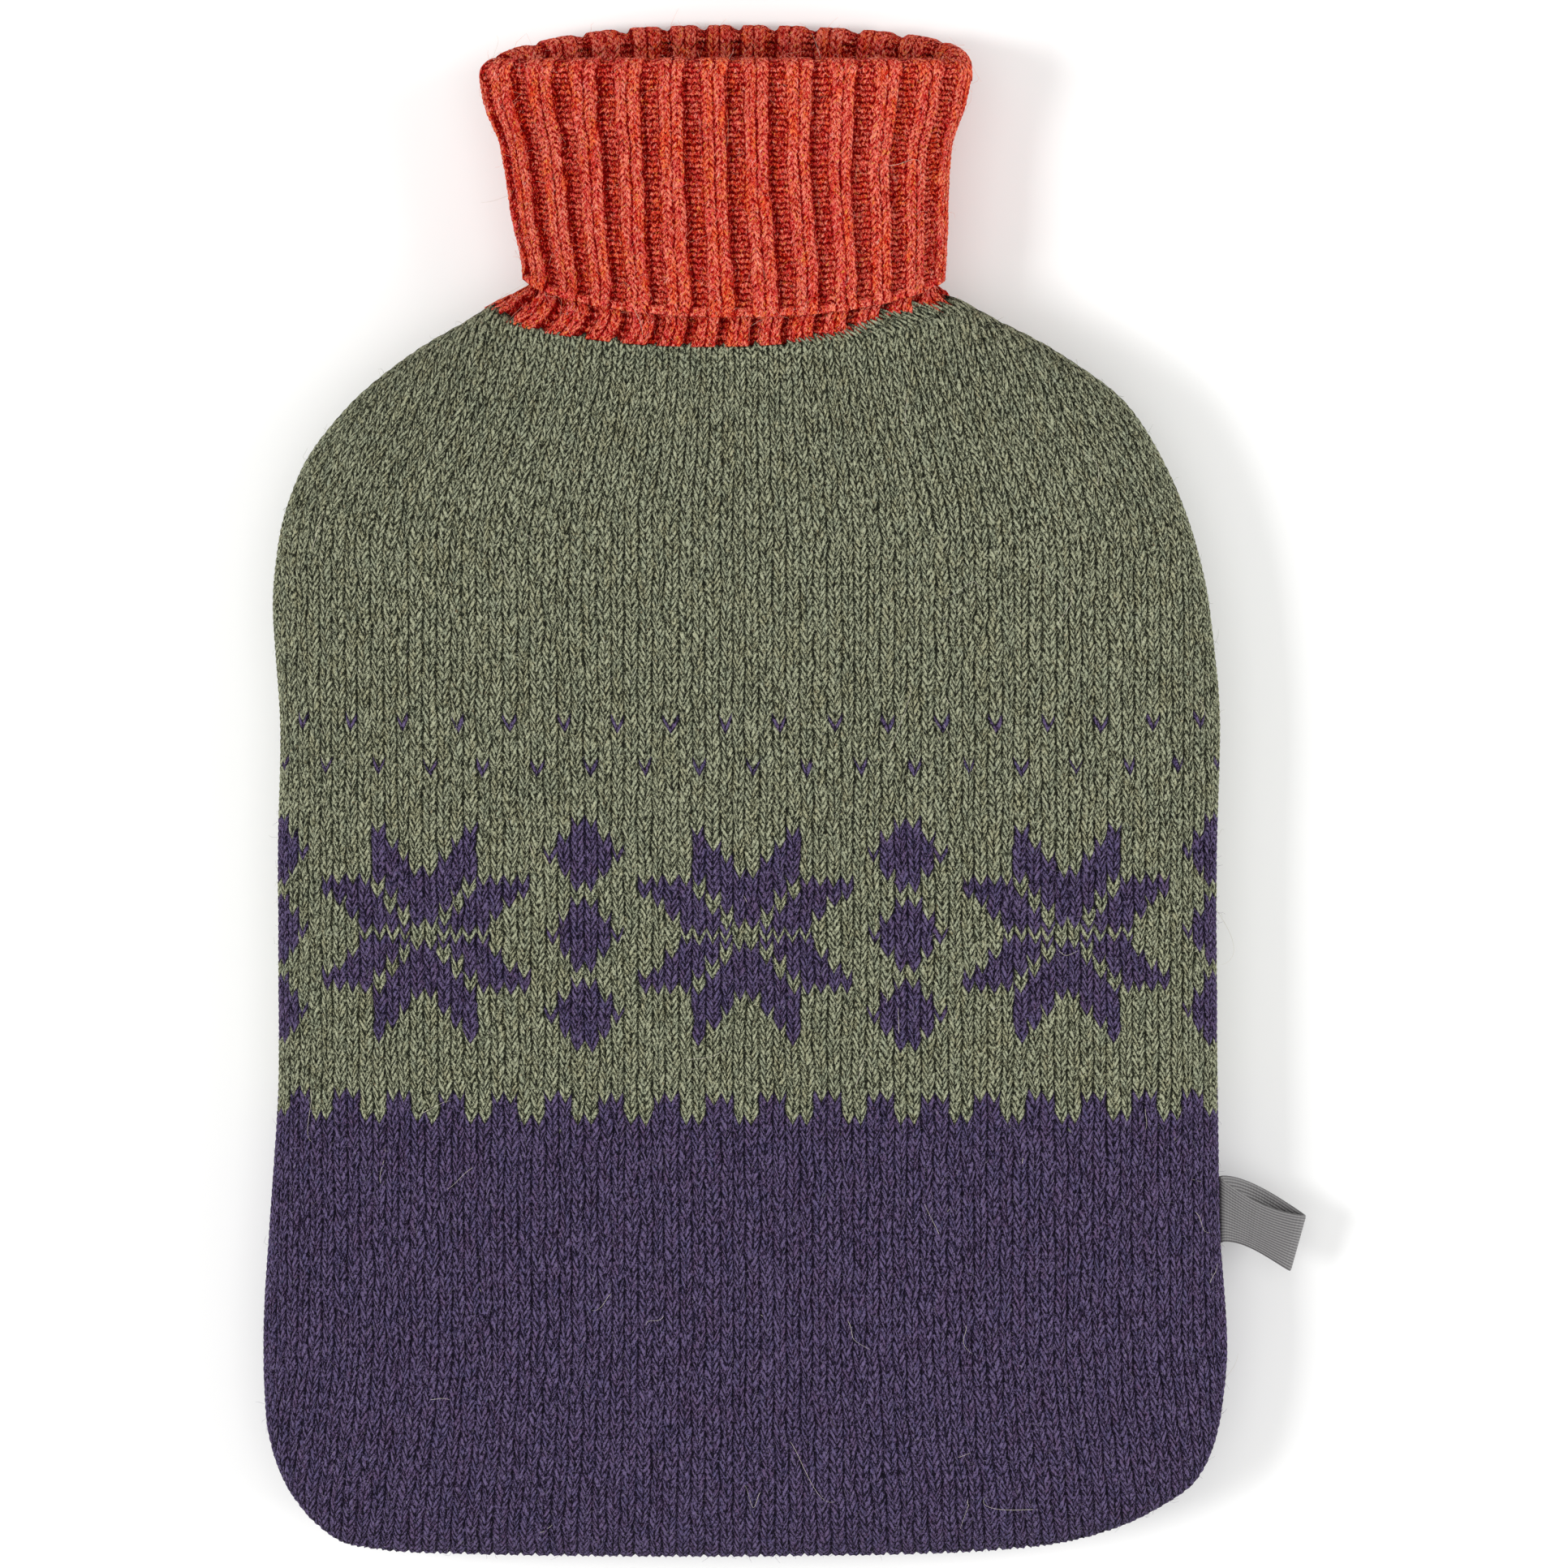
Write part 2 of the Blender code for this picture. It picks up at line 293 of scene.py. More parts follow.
def face_normals(places: Array) -> Array:
    """Unit normals of a lattice, out of the side where rows go up and columns go right."""
    return unit(np.cross(np.gradient(places, axis=1), np.gradient(places, axis=0)))


def lattice_faces(numbers: Array, is_ring: bool = False) -> Array:
    """Faces between the neighbours of a lattice of point numbers.

    Args:
        numbers: the lattice, its rows and columns last.
        is_ring: whether each row closes on itself.

    Returns:
        The four point numbers of each face, in a lattice of faces.
    """
    here = numbers if is_ring else numbers[..., :-1]
    right = np.roll(numbers, -1, axis=-1) if is_ring else numbers[..., 1:]
    return np.stack([here[..., :-1, :], right[..., :-1, :], right[..., 1:, :], here[..., 1:, :]], axis=-1)


def put_in_scene(name: str, data: bpy.types.ID) -> Object:
    """Makes an object and puts it in the scene.

    Args:
        name: the object's name.
        data: its mesh, lamp or camera.

    Returns:
        The object.
    """
    made = bpy.data.objects.new(name, data)
    bpy.context.scene.collection.objects.link(made)
    return made


@dataclass
class Shell:
    """Faces of one piece while it is built.

    Attributes:
        points: n x 3 places in metres.
        faces: m x 4 point numbers; a triangle repeats its last one.
        stitches: m x 4 x 2, the wale and the row that each corner lies on.
        finishes: m material numbers.
    """

    points: Array
    faces: Array
    stitches: Array
    finishes: Array

    def to_object(self, name: str, materials: list[Material]) -> Object:
        """Makes a smooth mesh object of the shell, without doubled points or empty faces.

        Args:
            name: name of the piece.
            materials: its materials, in the order of the material numbers.

        Returns:
            The object, in the scene.
        """
        whole = np.round(self.points / SAME_PLACE)
        _, first, same = np.unique(whole, axis=0, return_index=True, return_inverse=True)
        faces = first[same.ravel()][self.faces]
        doubled = faces == np.roll(faces, 1, axis=1)
        crossed = (faces[:, 0] == faces[:, 2]) | (faces[:, 1] == faces[:, 3])
        kept = (doubled.sum(axis=1) <= 1) & ~crossed
        faces, corners = faces[kept], ~doubled[kept]
        used, renumbered = np.unique(faces[corners], return_inverse=True)
        mesh = bpy.data.meshes.new(name)
        mesh.vertices.add(len(used))
        mesh.vertices.foreach_set("co", self.points[used].astype(np.float32).ravel())
        mesh.loops.add(int(corners.sum()))
        mesh.loops.foreach_set("vertex_index", renumbered.astype(np.int32))
        mesh.polygons.add(len(faces))
        starts = np.concatenate([[0], np.cumsum(corners.sum(axis=1))[:-1]]).astype(np.int32)
        mesh.polygons.foreach_set("loop_start", starts)
        mesh.polygons.foreach_set("material_index", self.finishes[kept].astype(np.int32))
        mesh.uv_layers.new(name=UV_NAME)
        mesh.update(calc_edges=True)
        stitches = self.stitches[kept][corners].astype(np.float32)
        mesh.uv_layers[UV_NAME].data.foreach_set("uv", stitches.ravel())
        for material in materials:
            mesh.materials.append(material)
        mesh.validate()
        mesh.shade_smooth()
        return put_in_scene(name, mesh)


def boundary_loop(faces: Array) -> list[int]:
    """The longest way round the edges that belong to one face only.

    Args:
        faces: m x 4 point numbers, all wound the same way.

    Returns:
        Point numbers in order round the edge; a point where the edge touches itself comes twice.
    """
    starts, ends = faces.ravel(), np.roll(faces, -1, axis=1).ravel()
    real = starts != ends
    there = set(zip(starts[real].tolist(), ends[real].tolist()))
    following: dict[int, list[int]] = {}
    for start, end in sorted(there):
        if (end, start) not in there:
            following.setdefault(start, []).append(end)
    longest: list[int] = []
    while following:
        trail, loop = [min(following)], []
        while trail:
            here = trail[-1]
            if here in following:
                trail.append(following[here].pop())
                if not following[here]:
                    del following[here]
            else:
                loop.append(trail.pop())
        longest = max(longest, loop[:0:-1], key=len)
    return longest


def bridge(one: Array, one_turn: Array, other: Array, other_turn: Array) -> Array:
    """Triangles between two closed loops that run the same way round.

    Args:
        one: point numbers of the first loop.
        one_turn: how far round each lies, from 0 to 1 and rising.
        other: point numbers of the second loop.
        other_turn: how far round each of these lies.

    Returns:
        m x 4 point numbers, the last one repeated.
    """
    beyond = 10.0
    one_turn, other_turn = [*one_turn[1:], 1.0, beyond], [*other_turn[1:], 1.0, beyond]
    faces, i, j = [], 0, 0
    while i < len(one) or j < len(other):
        a, b = one[i % len(one)], other[j % len(other)]
        if one_turn[i] <= other_turn[j]:
            i += 1
            onward = one[i % len(one)]
        else:
            j += 1
            onward = other[j % len(other)]
        faces.append((a, b, onward, onward))
    return np.array(faces)


def linear_colour(code: str) -> tuple[float, ...]:
    """Turns an sRGB hex value such as "#6D6F5C" into linear RGBA."""
    channels = [int(code[start : start + 2], 16) / 255 for start in (1, 3, 5)]
    return (*(c / 12.92 if c <= 0.04045 else ((c + 0.055) / 1.055) ** 2.4 for c in channels), 1.0)


def add_node(
    tree: bpy.types.NodeTree, kind: str, inputs: dict | None = None, output: str | int = 0, **settings: str
) -> Output | None:
    """Adds a node to a material, with its settings and what goes into its sockets.

    Args:
        tree: the material's node tree.
        kind: Blender's name for the shader node, without ShaderNode.
        inputs: for each socket, either a value or another node's output to link.
        output: which output is wanted.
        settings: properties to set on the node.

    Returns:
        That output, or None where the node has none.
    """
    node = tree.nodes.new(f"ShaderNode{kind}")
    for name, value in settings.items():
        setattr(node, name, value)
    for socket, value in (inputs or {}).items():
        if isinstance(value, Output):
            tree.links.new(value, node.inputs[socket])
        else:
            node.inputs[socket].default_value = value
    return node.outputs[output] if node.outputs else None


def make_material(name: str, surface: Callable[[Adder], dict]) -> Material:
    """Makes a material out of one surface shader and what a finish wires into it.

    Args:
        name: name of the material.
        surface: gets the adder of nodes, and gives what goes into the shader's sockets.

    Returns:
        The material.
    """
    material = bpy.data.materials.new(name)
    material.use_nodes = True
    material.node_tree.nodes.clear()
    add = partial(add_node, material.node_tree)
    add("OutputMaterial", {"Surface": add("BsdfPrincipled", surface(add))})
    return material


# Finishes. A Mix node takes its share in socket 0, numbers in 2 and 3 and colours in 6 and 7, and its
# output 2 is the colour; the other numbered sockets are a Math node's own, from the first.

# Stripes along the ribs, in wales; the first two of every four are knit. Each has the wale in its
# middle, how far from there it is full and how far from there it ends.
TROUGH = (3.0, 0.7, 1.15)
# The second stripe lies at a valley's edge beside the next rib, where that rib's shadow falls: it carries a
# painted shadow.
RIB_SHADOW_STRIPE = (3.76, 0.05, 0.42)


@dataclass(frozen=True)
class FulledLambswool:
    """Carded lambswool yarn, dyed in the fleece, knitted and then fulled by washing.

    Dyeing before spinning leaves fibres of several shades in one yarn, and fulling felts them a
    little: the eye sees a soft, dry and mottled cloth with blurred stitches and no gloss.
    """

    name: str
    knit: Knit
    deep: str
    mid: str
    pale: str
    flecks: tuple[str, ...]
    # Real sizes in millimetres. A lambswool fibre is 0.025 mm thick, far too fine to show, so the
    # streaks are the bundles of fibres that the eye takes as one.
    streak_width: float = 0.2
    streak_length: float = 0.42
    clump: float = 9.0
    # Lightness of the whole yarn, and where the middle shade lies between the deep and the pale one
    lightness: float = 0.5
    mid_place: float = 0.5
    # Heights in millimetres of the stitches and the streaks; how much lighter the streaks make the yarn, and
    # how strongly painted shade darkens it where a stitch lies deep
    stitch_relief: float = 0.5
    streak_relief: float = 0.17
    streak_shade: float = 1.8
    depth_painted_shade: float = 1.1
    # Shares of a stitch's height that it loses between two rows, there on purl wales, and down its V
    furrow_share: float = 0.7
    purl_furrows: float = 0.0
    split_share: float = 0.8
    # Painted shade: how much darker a rib's valleys are painted, and how dark the painted shadow is that
    # each rib casts on the edge of the valley beside it
    valley_painted_shade: float = 0.05
    rib_painted_shadow: float = 0.32
    # Flecks are single streaks in other colours, and drifts are wider tints.
    fleck_strength: float = 0.6
    fleck_limit: float = 0.62
    drifts: tuple[str, ...] = ()
    drift_size: float = 7.0
    drift_strength: float = 0.3
    # How far the edges of the stitches wander
    wander_rows: float = 0.6
    wander_wales: float = 0.36
    roughness: float = 0.92
    sheen: float = 0.12
    gloss: float = 0.15

    def material(self) -> Material:
        """Builds the node material."""
        return make_material(self.name, self._surface)

    def _surface(self, add: Adder) -> dict:
        """Wires colour and relief, in millimetres of the cloth.

        Args:
            add: adds a node to the material.

        Returns:
            What goes into the shader's sockets.
        """
        place = add("VectorMath", {0: add("TexCoord", None, "Object"), "Scale": 1 / MM}, operation="SCALE")
        height, streaks, depth = self._relief(add, place)
        return {
            "Base Color": self._colour(add, place, streaks, depth),
            "Roughness": self.roughness,
            "IOR": 1.54,
            "Specular IOR Level": self.gloss,
            "Sheen Weight": self.sheen,
            "Sheen Roughness": 0.55,
            "Sheen Tint": linear_colour(self.pale),
            "Normal": add("Bump", {"Strength": 1.0, "Distance": MM, "Height": height}),
        }

    def _streaks(self, add: Adder, place: Output, turn: float, seed: float, size: float = 2.0) -> Output:
        """Fine fibres that lie about one direction across the cloth.

        Args:
            add: adds a node to the material.
            place: the place in millimetres.
            turn: the direction's angle from the wales, in degrees.
            seed: sets these fibres apart from others.
            size: wave of the noise, in widths of a streak.

        Returns:
            Their noise, about 0.2 to 0.8.
        """
        width, length = self.streak_width * size, self.streak_length * size
        inputs = {
            "Vector": place,
            "Location": (seed, seed, seed),
            "Rotation": (0.0, 0.0, math.radians(turn)),
            "Scale": (width, length, width * 2),
        }
        turned = add("Mapping", inputs, vector_type="TEXTURE")
        noise = {"Vector": turned, "Scale": 1.0, "Detail": 2.5, "Roughness": 0.62, "Distortion": 0.9}
        return add("TexNoise", noise)

    def _relief(self, add: Adder, place: Output) -> tuple[Output, Output, Output]:
        """Stitch legs and fibres as heights.

        Args:
            add: adds a node to the material.
            place: the place in millimetres.

        Returns:
            The height in millimetres, the fibres' streaks and the stitch's own height, both from 0
            to 1.
        """
        noise = {"Vector": place, "Scale": 0.4, "Detail": 3.0, "Roughness": 0.68}
        uneven = add("TexNoise", noise, "Color")
        reach = (self.wander_wales, self.wander_rows, 0.0)
        half = (self.wander_wales / 2, self.wander_rows / 2, 0.0)
        stitch = add("UVMap", uv_map=UV_NAME)
        wandered = add("VectorMath", {0: uneven, 1: reach, 2: stitch}, operation="MULTIPLY_ADD")
        wandered = add("VectorMath", {0: wandered, 1: half}, operation="SUBTRACT")
        from_groove, from_furrow = (
            add("Math", {0: add("SeparateXYZ", {0: wandered}, axis), 1: 0.5}, operation="PINGPONG")
            for axis in "XY"
        )
        patches = add("SeparateXYZ", {0: uneven}, "Z")
        smooth = {"interpolation_type": "SMOOTHSTEP"}
        falling = {"To Min": 1.0, "To Max": 0.0}
        furrow = add("MapRange", {"Value": from_furrow, "From Max": 0.3} | falling, **smooth)
        groove = add("MapRange", {"Value": from_groove, "From Max": 0.15} | falling, **smooth)
        limits = {"From Min": 0.39, "From Max": 0.5, "To Max": self.split_share}
        split = add("MapRange", {"Value": from_groove} | limits, **smooth)
        broken = add("MapRange", {"Value": patches, "From Min": 0.43, "From Max": 0.57, "To Min": 0.6})
        gaps = add("Math", {0: groove, 1: split}, operation="MAXIMUM")
        closed = add("Math", {0: gaps, 1: broken}, operation="MULTIPLY")
        column = add("Math", {0: 1.0, 1: closed}, operation="SUBTRACT")
        share = -self.furrow_share
        if self.knit is Knit.TWO_BY_TWO_RIB:
            trough = self._stripe(add, *TROUGH)
            column = add("Mix", {0: trough, 2: column, 3: 0.75}, data_type="FLOAT")
            share = add("Math", {0: trough, 1: -self.purl_furrows, 2: share}, operation="MULTIPLY_ADD")
        on_leg = add("Math", {0: furrow, 1: share, 2: 1.0}, operation="MULTIPLY_ADD")
        depth = add("Math", {0: column, 1: on_leg}, operation="MULTIPLY")
        leaning, other = self._streaks(add, place, 24.0, 11.0), self._streaks(add, place, -21.0, 47.0)
        longest = add("Math", {0: leaning, 1: other}, operation="MAXIMUM")
        streaks = add("MapRange", {"Value": longest, "From Min": 0.44, "From Max": 0.7})
        stitches = add("Math", {0: depth, 1: self.stitch_relief}, operation="MULTIPLY")
        height = add("Math", {0: streaks, 1: self.streak_relief, 2: stitches}, operation="MULTIPLY_ADD")
        return height, streaks, depth

    def _stripe(self, add: Adder, middle: float, inner: float, outer: float) -> Output:
        """Marks a stripe along the ribs.

        Args:
            add: adds a node to the material.
            middle: wale in the middle of the stripe.
            inner: wales from there up to which the stripe is full.
            outer: wales from there at which it ends.

        Returns:
            1 in the stripe and 0 outside.
        """
        wale = add("SeparateXYZ", {0: add("UVMap", uv_map=UV_NAME)}, "X")
        shifted = add("Math", {0: wale, 1: middle}, operation="SUBTRACT")
        away = add("Math", {0: shifted, 1: 2.0}, operation="PINGPONG")
        limits = {"Value": away, "From Min": inner, "From Max": outer, "To Min": 1.0, "To Max": 0.0}
        return add("MapRange", limits, interpolation_type="SMOOTHSTEP")

    def _colour(self, add: Adder, place: Output, streaks: Output, depth: Output) -> Output:
        """Shades of the fibres, with flecks of other colours, and painted shade between the stitches and in
        a rib's valleys.

        Args:
            add: adds a node to the material.
            place: the place in millimetres.
            streaks: the fibres' streaks from 0 to 1.
            depth: the stitch's own height from 0 to 1.

        Returns:
            The colour.
        """
        noise = {"Vector": place, "Scale": 1 / self.clump, "Detail": 3.0, "Roughness": 0.6}
        # The stitch's depth darkens the yarn as painted shade between the stitches; the noise and the
        # streaks are the yarn's own tones.
        layers = [(depth, self.depth_painted_shade), (add("TexNoise", noise), 0.12), (streaks, self.streak_shade)]
        if self.knit is Knit.TWO_BY_TWO_RIB:
            # Painted shade in a rib's valleys, and a painted shadow beside each rib
            layers.append((self._stripe(add, *TROUGH), -self.valley_painted_shade))
            layers.append((self._stripe(add, *RIB_SHADOW_STRIPE), -self.rib_painted_shadow))
        shade = self.lightness - 0.6 * self.depth_painted_shade - 0.4 * self.streak_shade - 0.06
        for layer, strength in layers:
            shade = add("Math", {0: layer, 1: strength, 2: shade}, operation="MULTIPLY_ADD")
        colour = add("ValToRGB", {"Fac": shade})
        stops = colour.node.color_ramp.elements
        stops[0].color, stops[1].color = linear_colour(self.deep), linear_colour(self.pale)
        stops.new(self.mid_place).color = linear_colour(self.mid)
        lit = add("MapRange", {"Value": shade, "From Min": 0.1, "From Max": 0.5})
        for number, drift in enumerate(self.drifts):
            strands = self._streaks(add, place, 8.0 * number, 230.0 + 31.0 * number, 2 * self.drift_size)
            limits = {"Value": strands, "From Min": 0.5, "From Max": 0.64, "To Max": self.drift_strength}
            part = add("MapRange", limits, interpolation_type="SMOOTHSTEP")
            shades = {0: part, 6: colour, 7: linear_colour(drift)}
            colour = add("Mix", shades, 2, data_type="RGBA", blend_type="MULTIPLY")
        for number, fleck in enumerate(self.flecks):
            strands = self._streaks(add, place, 35.0 - 27.0 * number, 83.0 + 31.0 * number)
            limit = self.fleck_limit
            limits = {"From Min": limit, "From Max": limit + 0.08, "To Max": self.fleck_strength}
            part = add("MapRange", {"Value": strands} | limits, interpolation_type="SMOOTHSTEP")
            part = add("Math", {0: part, 1: lit}, operation="MULTIPLY")
            colour = add("Mix", {0: part, 6: colour, 7: linear_colour(fleck)}, 2, data_type="RGBA")
        return colour


@dataclass(frozen=True)
class WovenTape:
    """Polyester tape, woven narrow with a fine rib across it: satiny, with thin even lines."""

    name: str = "grey_polyester_tape_woven"
    deep: str = "#4E4C4D"
    pale: str = "#807E7E"
    rib_mm: float = 0.7

    def material(self) -> Material:
        """Builds the node material."""
        return make_material(self.name, self._surface)

    def _surface(self, add: Adder) -> dict:
        """Wires the ribs across the tape and the threads along it.

        Args:
            add: adds a node to the material.

        Returns:
            What goes into the shader's sockets.
        """
        wave = {"Vector": add("UVMap", uv_map=UV_NAME), "Scale": 0.314 / self.rib_mm}
        ribs = add("TexWave", wave | {"Distortion": 0.6, "Detail": 1.0}, "Fac", bands_direction="X")
        threads = add("TexWave", wave | {"Distortion": 0.8}, "Fac", bands_direction="Y")
        height = add("Math", {0: ribs, 1: 0.4, 2: threads}, operation="MULTIPLY_ADD")
        shades = {0: threads, 6: linear_colour(self.deep), 7: linear_colour(self.pale)}
        return {
            "Base Color": add("Mix", shades, 2, data_type="RGBA"),
            "Roughness": 0.5,
            "IOR": 1.57,
            "Sheen Weight": 0.15,
            "Normal": add("Bump", {"Strength": 0.6, "Distance": 0.12 * MM, "Height": height}),
        }


@dataclass(frozen=True)
class LooseWool:
    """Single wool fibres that stand out of the cloth: thin, dry and a little paler than the yarn."""

    name: str
    shade: str
    pale: str

    def material(self) -> Material:
        """Builds the node material."""
        return make_material(self.name, self._surface)

    def _surface(self, add: Adder) -> dict:
        """Wires the fibres' uneven shade.

        Args:
            add: adds a node to the material.

        Returns:
            What goes into the shader's sockets.
        """
        place = add("TexCoord", None, "Object")
        patches = add("TexNoise", {"Vector": place, "Scale": 400.0, "Detail": 1.0})
        shades = {0: patches, 6: linear_colour(self.shade), 7: linear_colour(self.pale)}
        colour = add("Mix", shades, 2, data_type="RGBA")
        return {"Base Color": colour, "Roughness": 0.8, "IOR": 1.54, "Sheen Weight": 0.3}


MOSS = FulledLambswool(
    name="moss_green_lambswool_stocking_stitch",
    knit=Knit.STOCKING_STITCH,
    deep="#14160D",
    mid="#595C47",
    pale="#AEB194",
    flecks=("#86694A", "#A8ABA0", "#3C463C"),
    drifts=("#E6D6B8", "#BCCDD6"),
)
PLUM = FulledLambswool(
    name="plum_purple_lambswool_stocking_stitch",
    knit=Knit.STOCKING_STITCH,
    deep="#0B0616",
    mid="#302440",
    pale="#6A5C80",
    flecks=("#603A52", "#465272", "#8A8494"),
    drifts=("#E8B4C4", "#A8C4DC"),
    wander_wales=0.26,
)
RUSSET = FulledLambswool(
    name="orange_red_lambswool_rib",
    knit=Knit.TWO_BY_TWO_RIB,
    deep="#6A0202",
    mid="#D4241E",
    pale="#FF8C74",
    flecks=("#F08030", "#B01438", "#FFB4A4", "#F0A048"),
    drifts=("#FFD890", "#F0A8C0"),
    drift_strength=0.8,
    fleck_limit=0.6,
    fleck_strength=0.85,
    streak_width=0.17,
    streak_length=0.62,
    lightness=0.445,
    streak_shade=1.35,
    depth_painted_shade=0.8,
    split_share=0.4,
    streak_relief=0.2,
    furrow_share=0.42,
    purl_furrows=0.4,
    wander_rows=0.7,
    wander_wales=0.3,
    sheen=0.0,
    gloss=0.03,
)
# A copy of the rib, darker all over as painted shade, for the inner tube: the wall seen inside the collar
# and the ribs below the hem.
RUSSET_PAINTED_SHADE = replace(RUSSET, name="orange_red_lambswool_rib_painted_shade", lightness=0.36)
MOSS_FIBRE = LooseWool("moss_green_wool_fibre", "#7C7E68", "#A6A890")
PLUM_FIBRE = LooseWool("plum_purple_wool_fibre", "#5A4E68", "#8C8096")
RUSSET_FIBRE = LooseWool("orange_red_wool_fibre", "#E0603C", "#FFC4A8")
UNDYED_FIBRE = LooseWool("undyed_wool_fibre", "#C9BFA8", "#EFE8D8")


# Knitting


def bend(wale: Array) -> Array:
    """0 in the middle of a wale and 1 at its sides, where a wale spans a whole number."""
    return np.abs(2 * (wale - np.floor(wale)) - 1)


@dataclass(frozen=True)
class StitchShape:
    """One stitch: a V of two legs, in millimetres and rows.

    Attributes:
        climb: how many rows a leg climbs from the middle of its wale to the side.
        groove: depth between two wales.
        dip: depth in the middle of a V.
        furrow: depth between a leg and the next one up.
        columns: lattice columns to a wale.
        rows: lattice rows to a stitch.
    """

    climb: float = 1.75
    groove: float = 0.6
    dip: float = 0.2
    furrow: float = 0.18
    columns: int = 4
    rows: int = 3

    def depths(self, wale: Array, row: Array) -> tuple[Array, Array, Array]:
        """How deep the hollows of a stitch are.

        Args:
            wale: wale number.
            row: row number along a leg.

        Returns:
            Depths of the furrow, the groove and the dip.
        """
        between = np.abs(np.mod(row + 0.5, 1.0) - 0.5) * 2
        return (
            self.furrow * (1 - smooth_step(0.0, 0.6, between)),
            self.groove * smooth_step(0.55, 1.0, bend(wale)),
            self.dip * (1 - smooth_step(0.0, 0.5, bend(wale))),
        )


@dataclass(frozen=True)
class StarBorder:
    """A knitted-in border of eight-petalled stars between stacks of small diamonds, in stitches.

    Rows are counted from the top of the purple band, and wales from the body's axis.

    Attributes:
        repeat: wales from one star to the next.
        star_half_width: wales from a star's middle to its side.
        star_half_height: rows from a star's middle to its top.
        star_row: row of the stars' middle.
        diamond_half_width: wales from a diamond's middle to its side.
        diamond_half_height: rows from a diamond's middle to its top.
        diamond_rows: rows of the diamonds' middles.
        tooth_wales: wales of one tooth of the border's foot.
        tooth_rows: its height in rows.
        speck_rows: rows with single stitches above the stars.
        speck_wales: wales between two of these.
    """

    repeat: float = 24.0
    star_half_width: float = 8.5
    star_half_height: float = 15.5
    star_row: float = 27.0
    diamond_half_width: float = 2.6
    diamond_half_height: float = 5.0
    diamond_rows: tuple[float, ...] = (16.0, 27.0, 38.0)
    tooth_wales: int = 4
    tooth_rows: float = 6.5
    speck_rows: tuple[int, ...] = (50, 56)
    speck_wales: int = 4

    def is_purple(self, wale: Array, row: Array) -> Array:
        """Whether stitches of the green field are knitted in purple.

        Args:
            wale: whole wale numbers, 0 just right of the axis.
            row: whole row numbers above the purple band.

        Returns:
            True for each purple stitch.
        """
        middle = wale + 0.5
        x = np.abs(np.mod(middle + self.repeat / 2, self.repeat) - self.repeat / 2) / self.star_half_width
        y = np.abs(row - self.star_row) / self.star_half_height
        longer, shorter = np.maximum(x, y), np.minimum(x, y)
        petals = (shorter <= 0.5) & (longer - shorter <= 0.5) & (longer <= 1)
        gaps = (shorter < 0.055) | (longer - shorter < 0.05)
        aside = np.abs(np.mod(middle, self.repeat) - self.repeat / 2) / self.diamond_half_width
        diamonds = [aside + np.abs(row - at) / self.diamond_half_height <= 1 for at in self.diamond_rows]
        tooth = np.abs(np.mod(middle, self.tooth_wales) - self.tooth_wales / 2) / self.tooth_wales * 2
        teeth = row < self.tooth_rows * (1 - tooth)
        specks = [
            (np.mod(wale + number * self.speck_wales // 2, self.speck_wales) == 0) & (np.abs(row - at) < 1)
            for number, at in enumerate(self.speck_rows)
        ]
        return np.any([petals & ~gaps, teeth, *diamonds, *specks], axis=0)


ROUND_START = 0.1  # how far round an outline the count starts, away from its corners


def nearest(outline: Array, points: Array) -> tuple[Array, Array]:
    """The nearest places on an outline.

    Args:
        outline: closed polygon, n x 2.
        points: m x 2.

    Returns:
        m x 2 places on the outline, and how far round it each lies, from 0 to 1.
    """
    spans = np.roll(outline, -1, axis=0) - outline
    sizes = np.maximum((spans**2).sum(axis=1), 1e-12)
    rounds = running_total(np.sqrt(sizes))
    places, turns = [], []
    for some in np.array_split(points, range(500, len(points), 500)):
        away = some[:, None] - outline
        part = np.clip((away * spans).sum(axis=2) / sizes, 0, 1)
        feet = outline + spans * part[..., None]
        best = ((some[:, None] - feet) ** 2).sum(axis=2).argmin(axis=1)
        picked = np.arange(len(some))
        places.append(feet[picked, best])
        turns.append((rounds[best] + part[picked, best] * np.sqrt(sizes[best])) / rounds[-1])
    return np.concatenate(places), np.concatenate(turns)


def edge_round(faces: Array, points: Array, outline: Array) -> tuple[Array, Array]:
    """The edge of some faces, and how far round an outline its points lie.

    Args:
        faces: m x 4 point numbers.
        points: n x 2 places.
        outline: closed polygon that the edge follows.

    Returns:
        Point numbers in order round the edge, and how far round each lies, from 0 to 1 and never
        falling.
    """
    loop = np.array(boundary_loop(faces))
    turns = np.mod(nearest(outline, points[loop])[1] - ROUND_START, 1.0)
    first = int(np.argmin(turns))
    loop, turns = np.roll(loop, -first), np.roll(turns, -first)
    turns = turns[0] + running_total(np.mod(np.diff(turns) + 0.5, 1.0) - 0.5)
    return loop, np.maximum.accumulate(np.clip(turns, 0.0, 1.0))


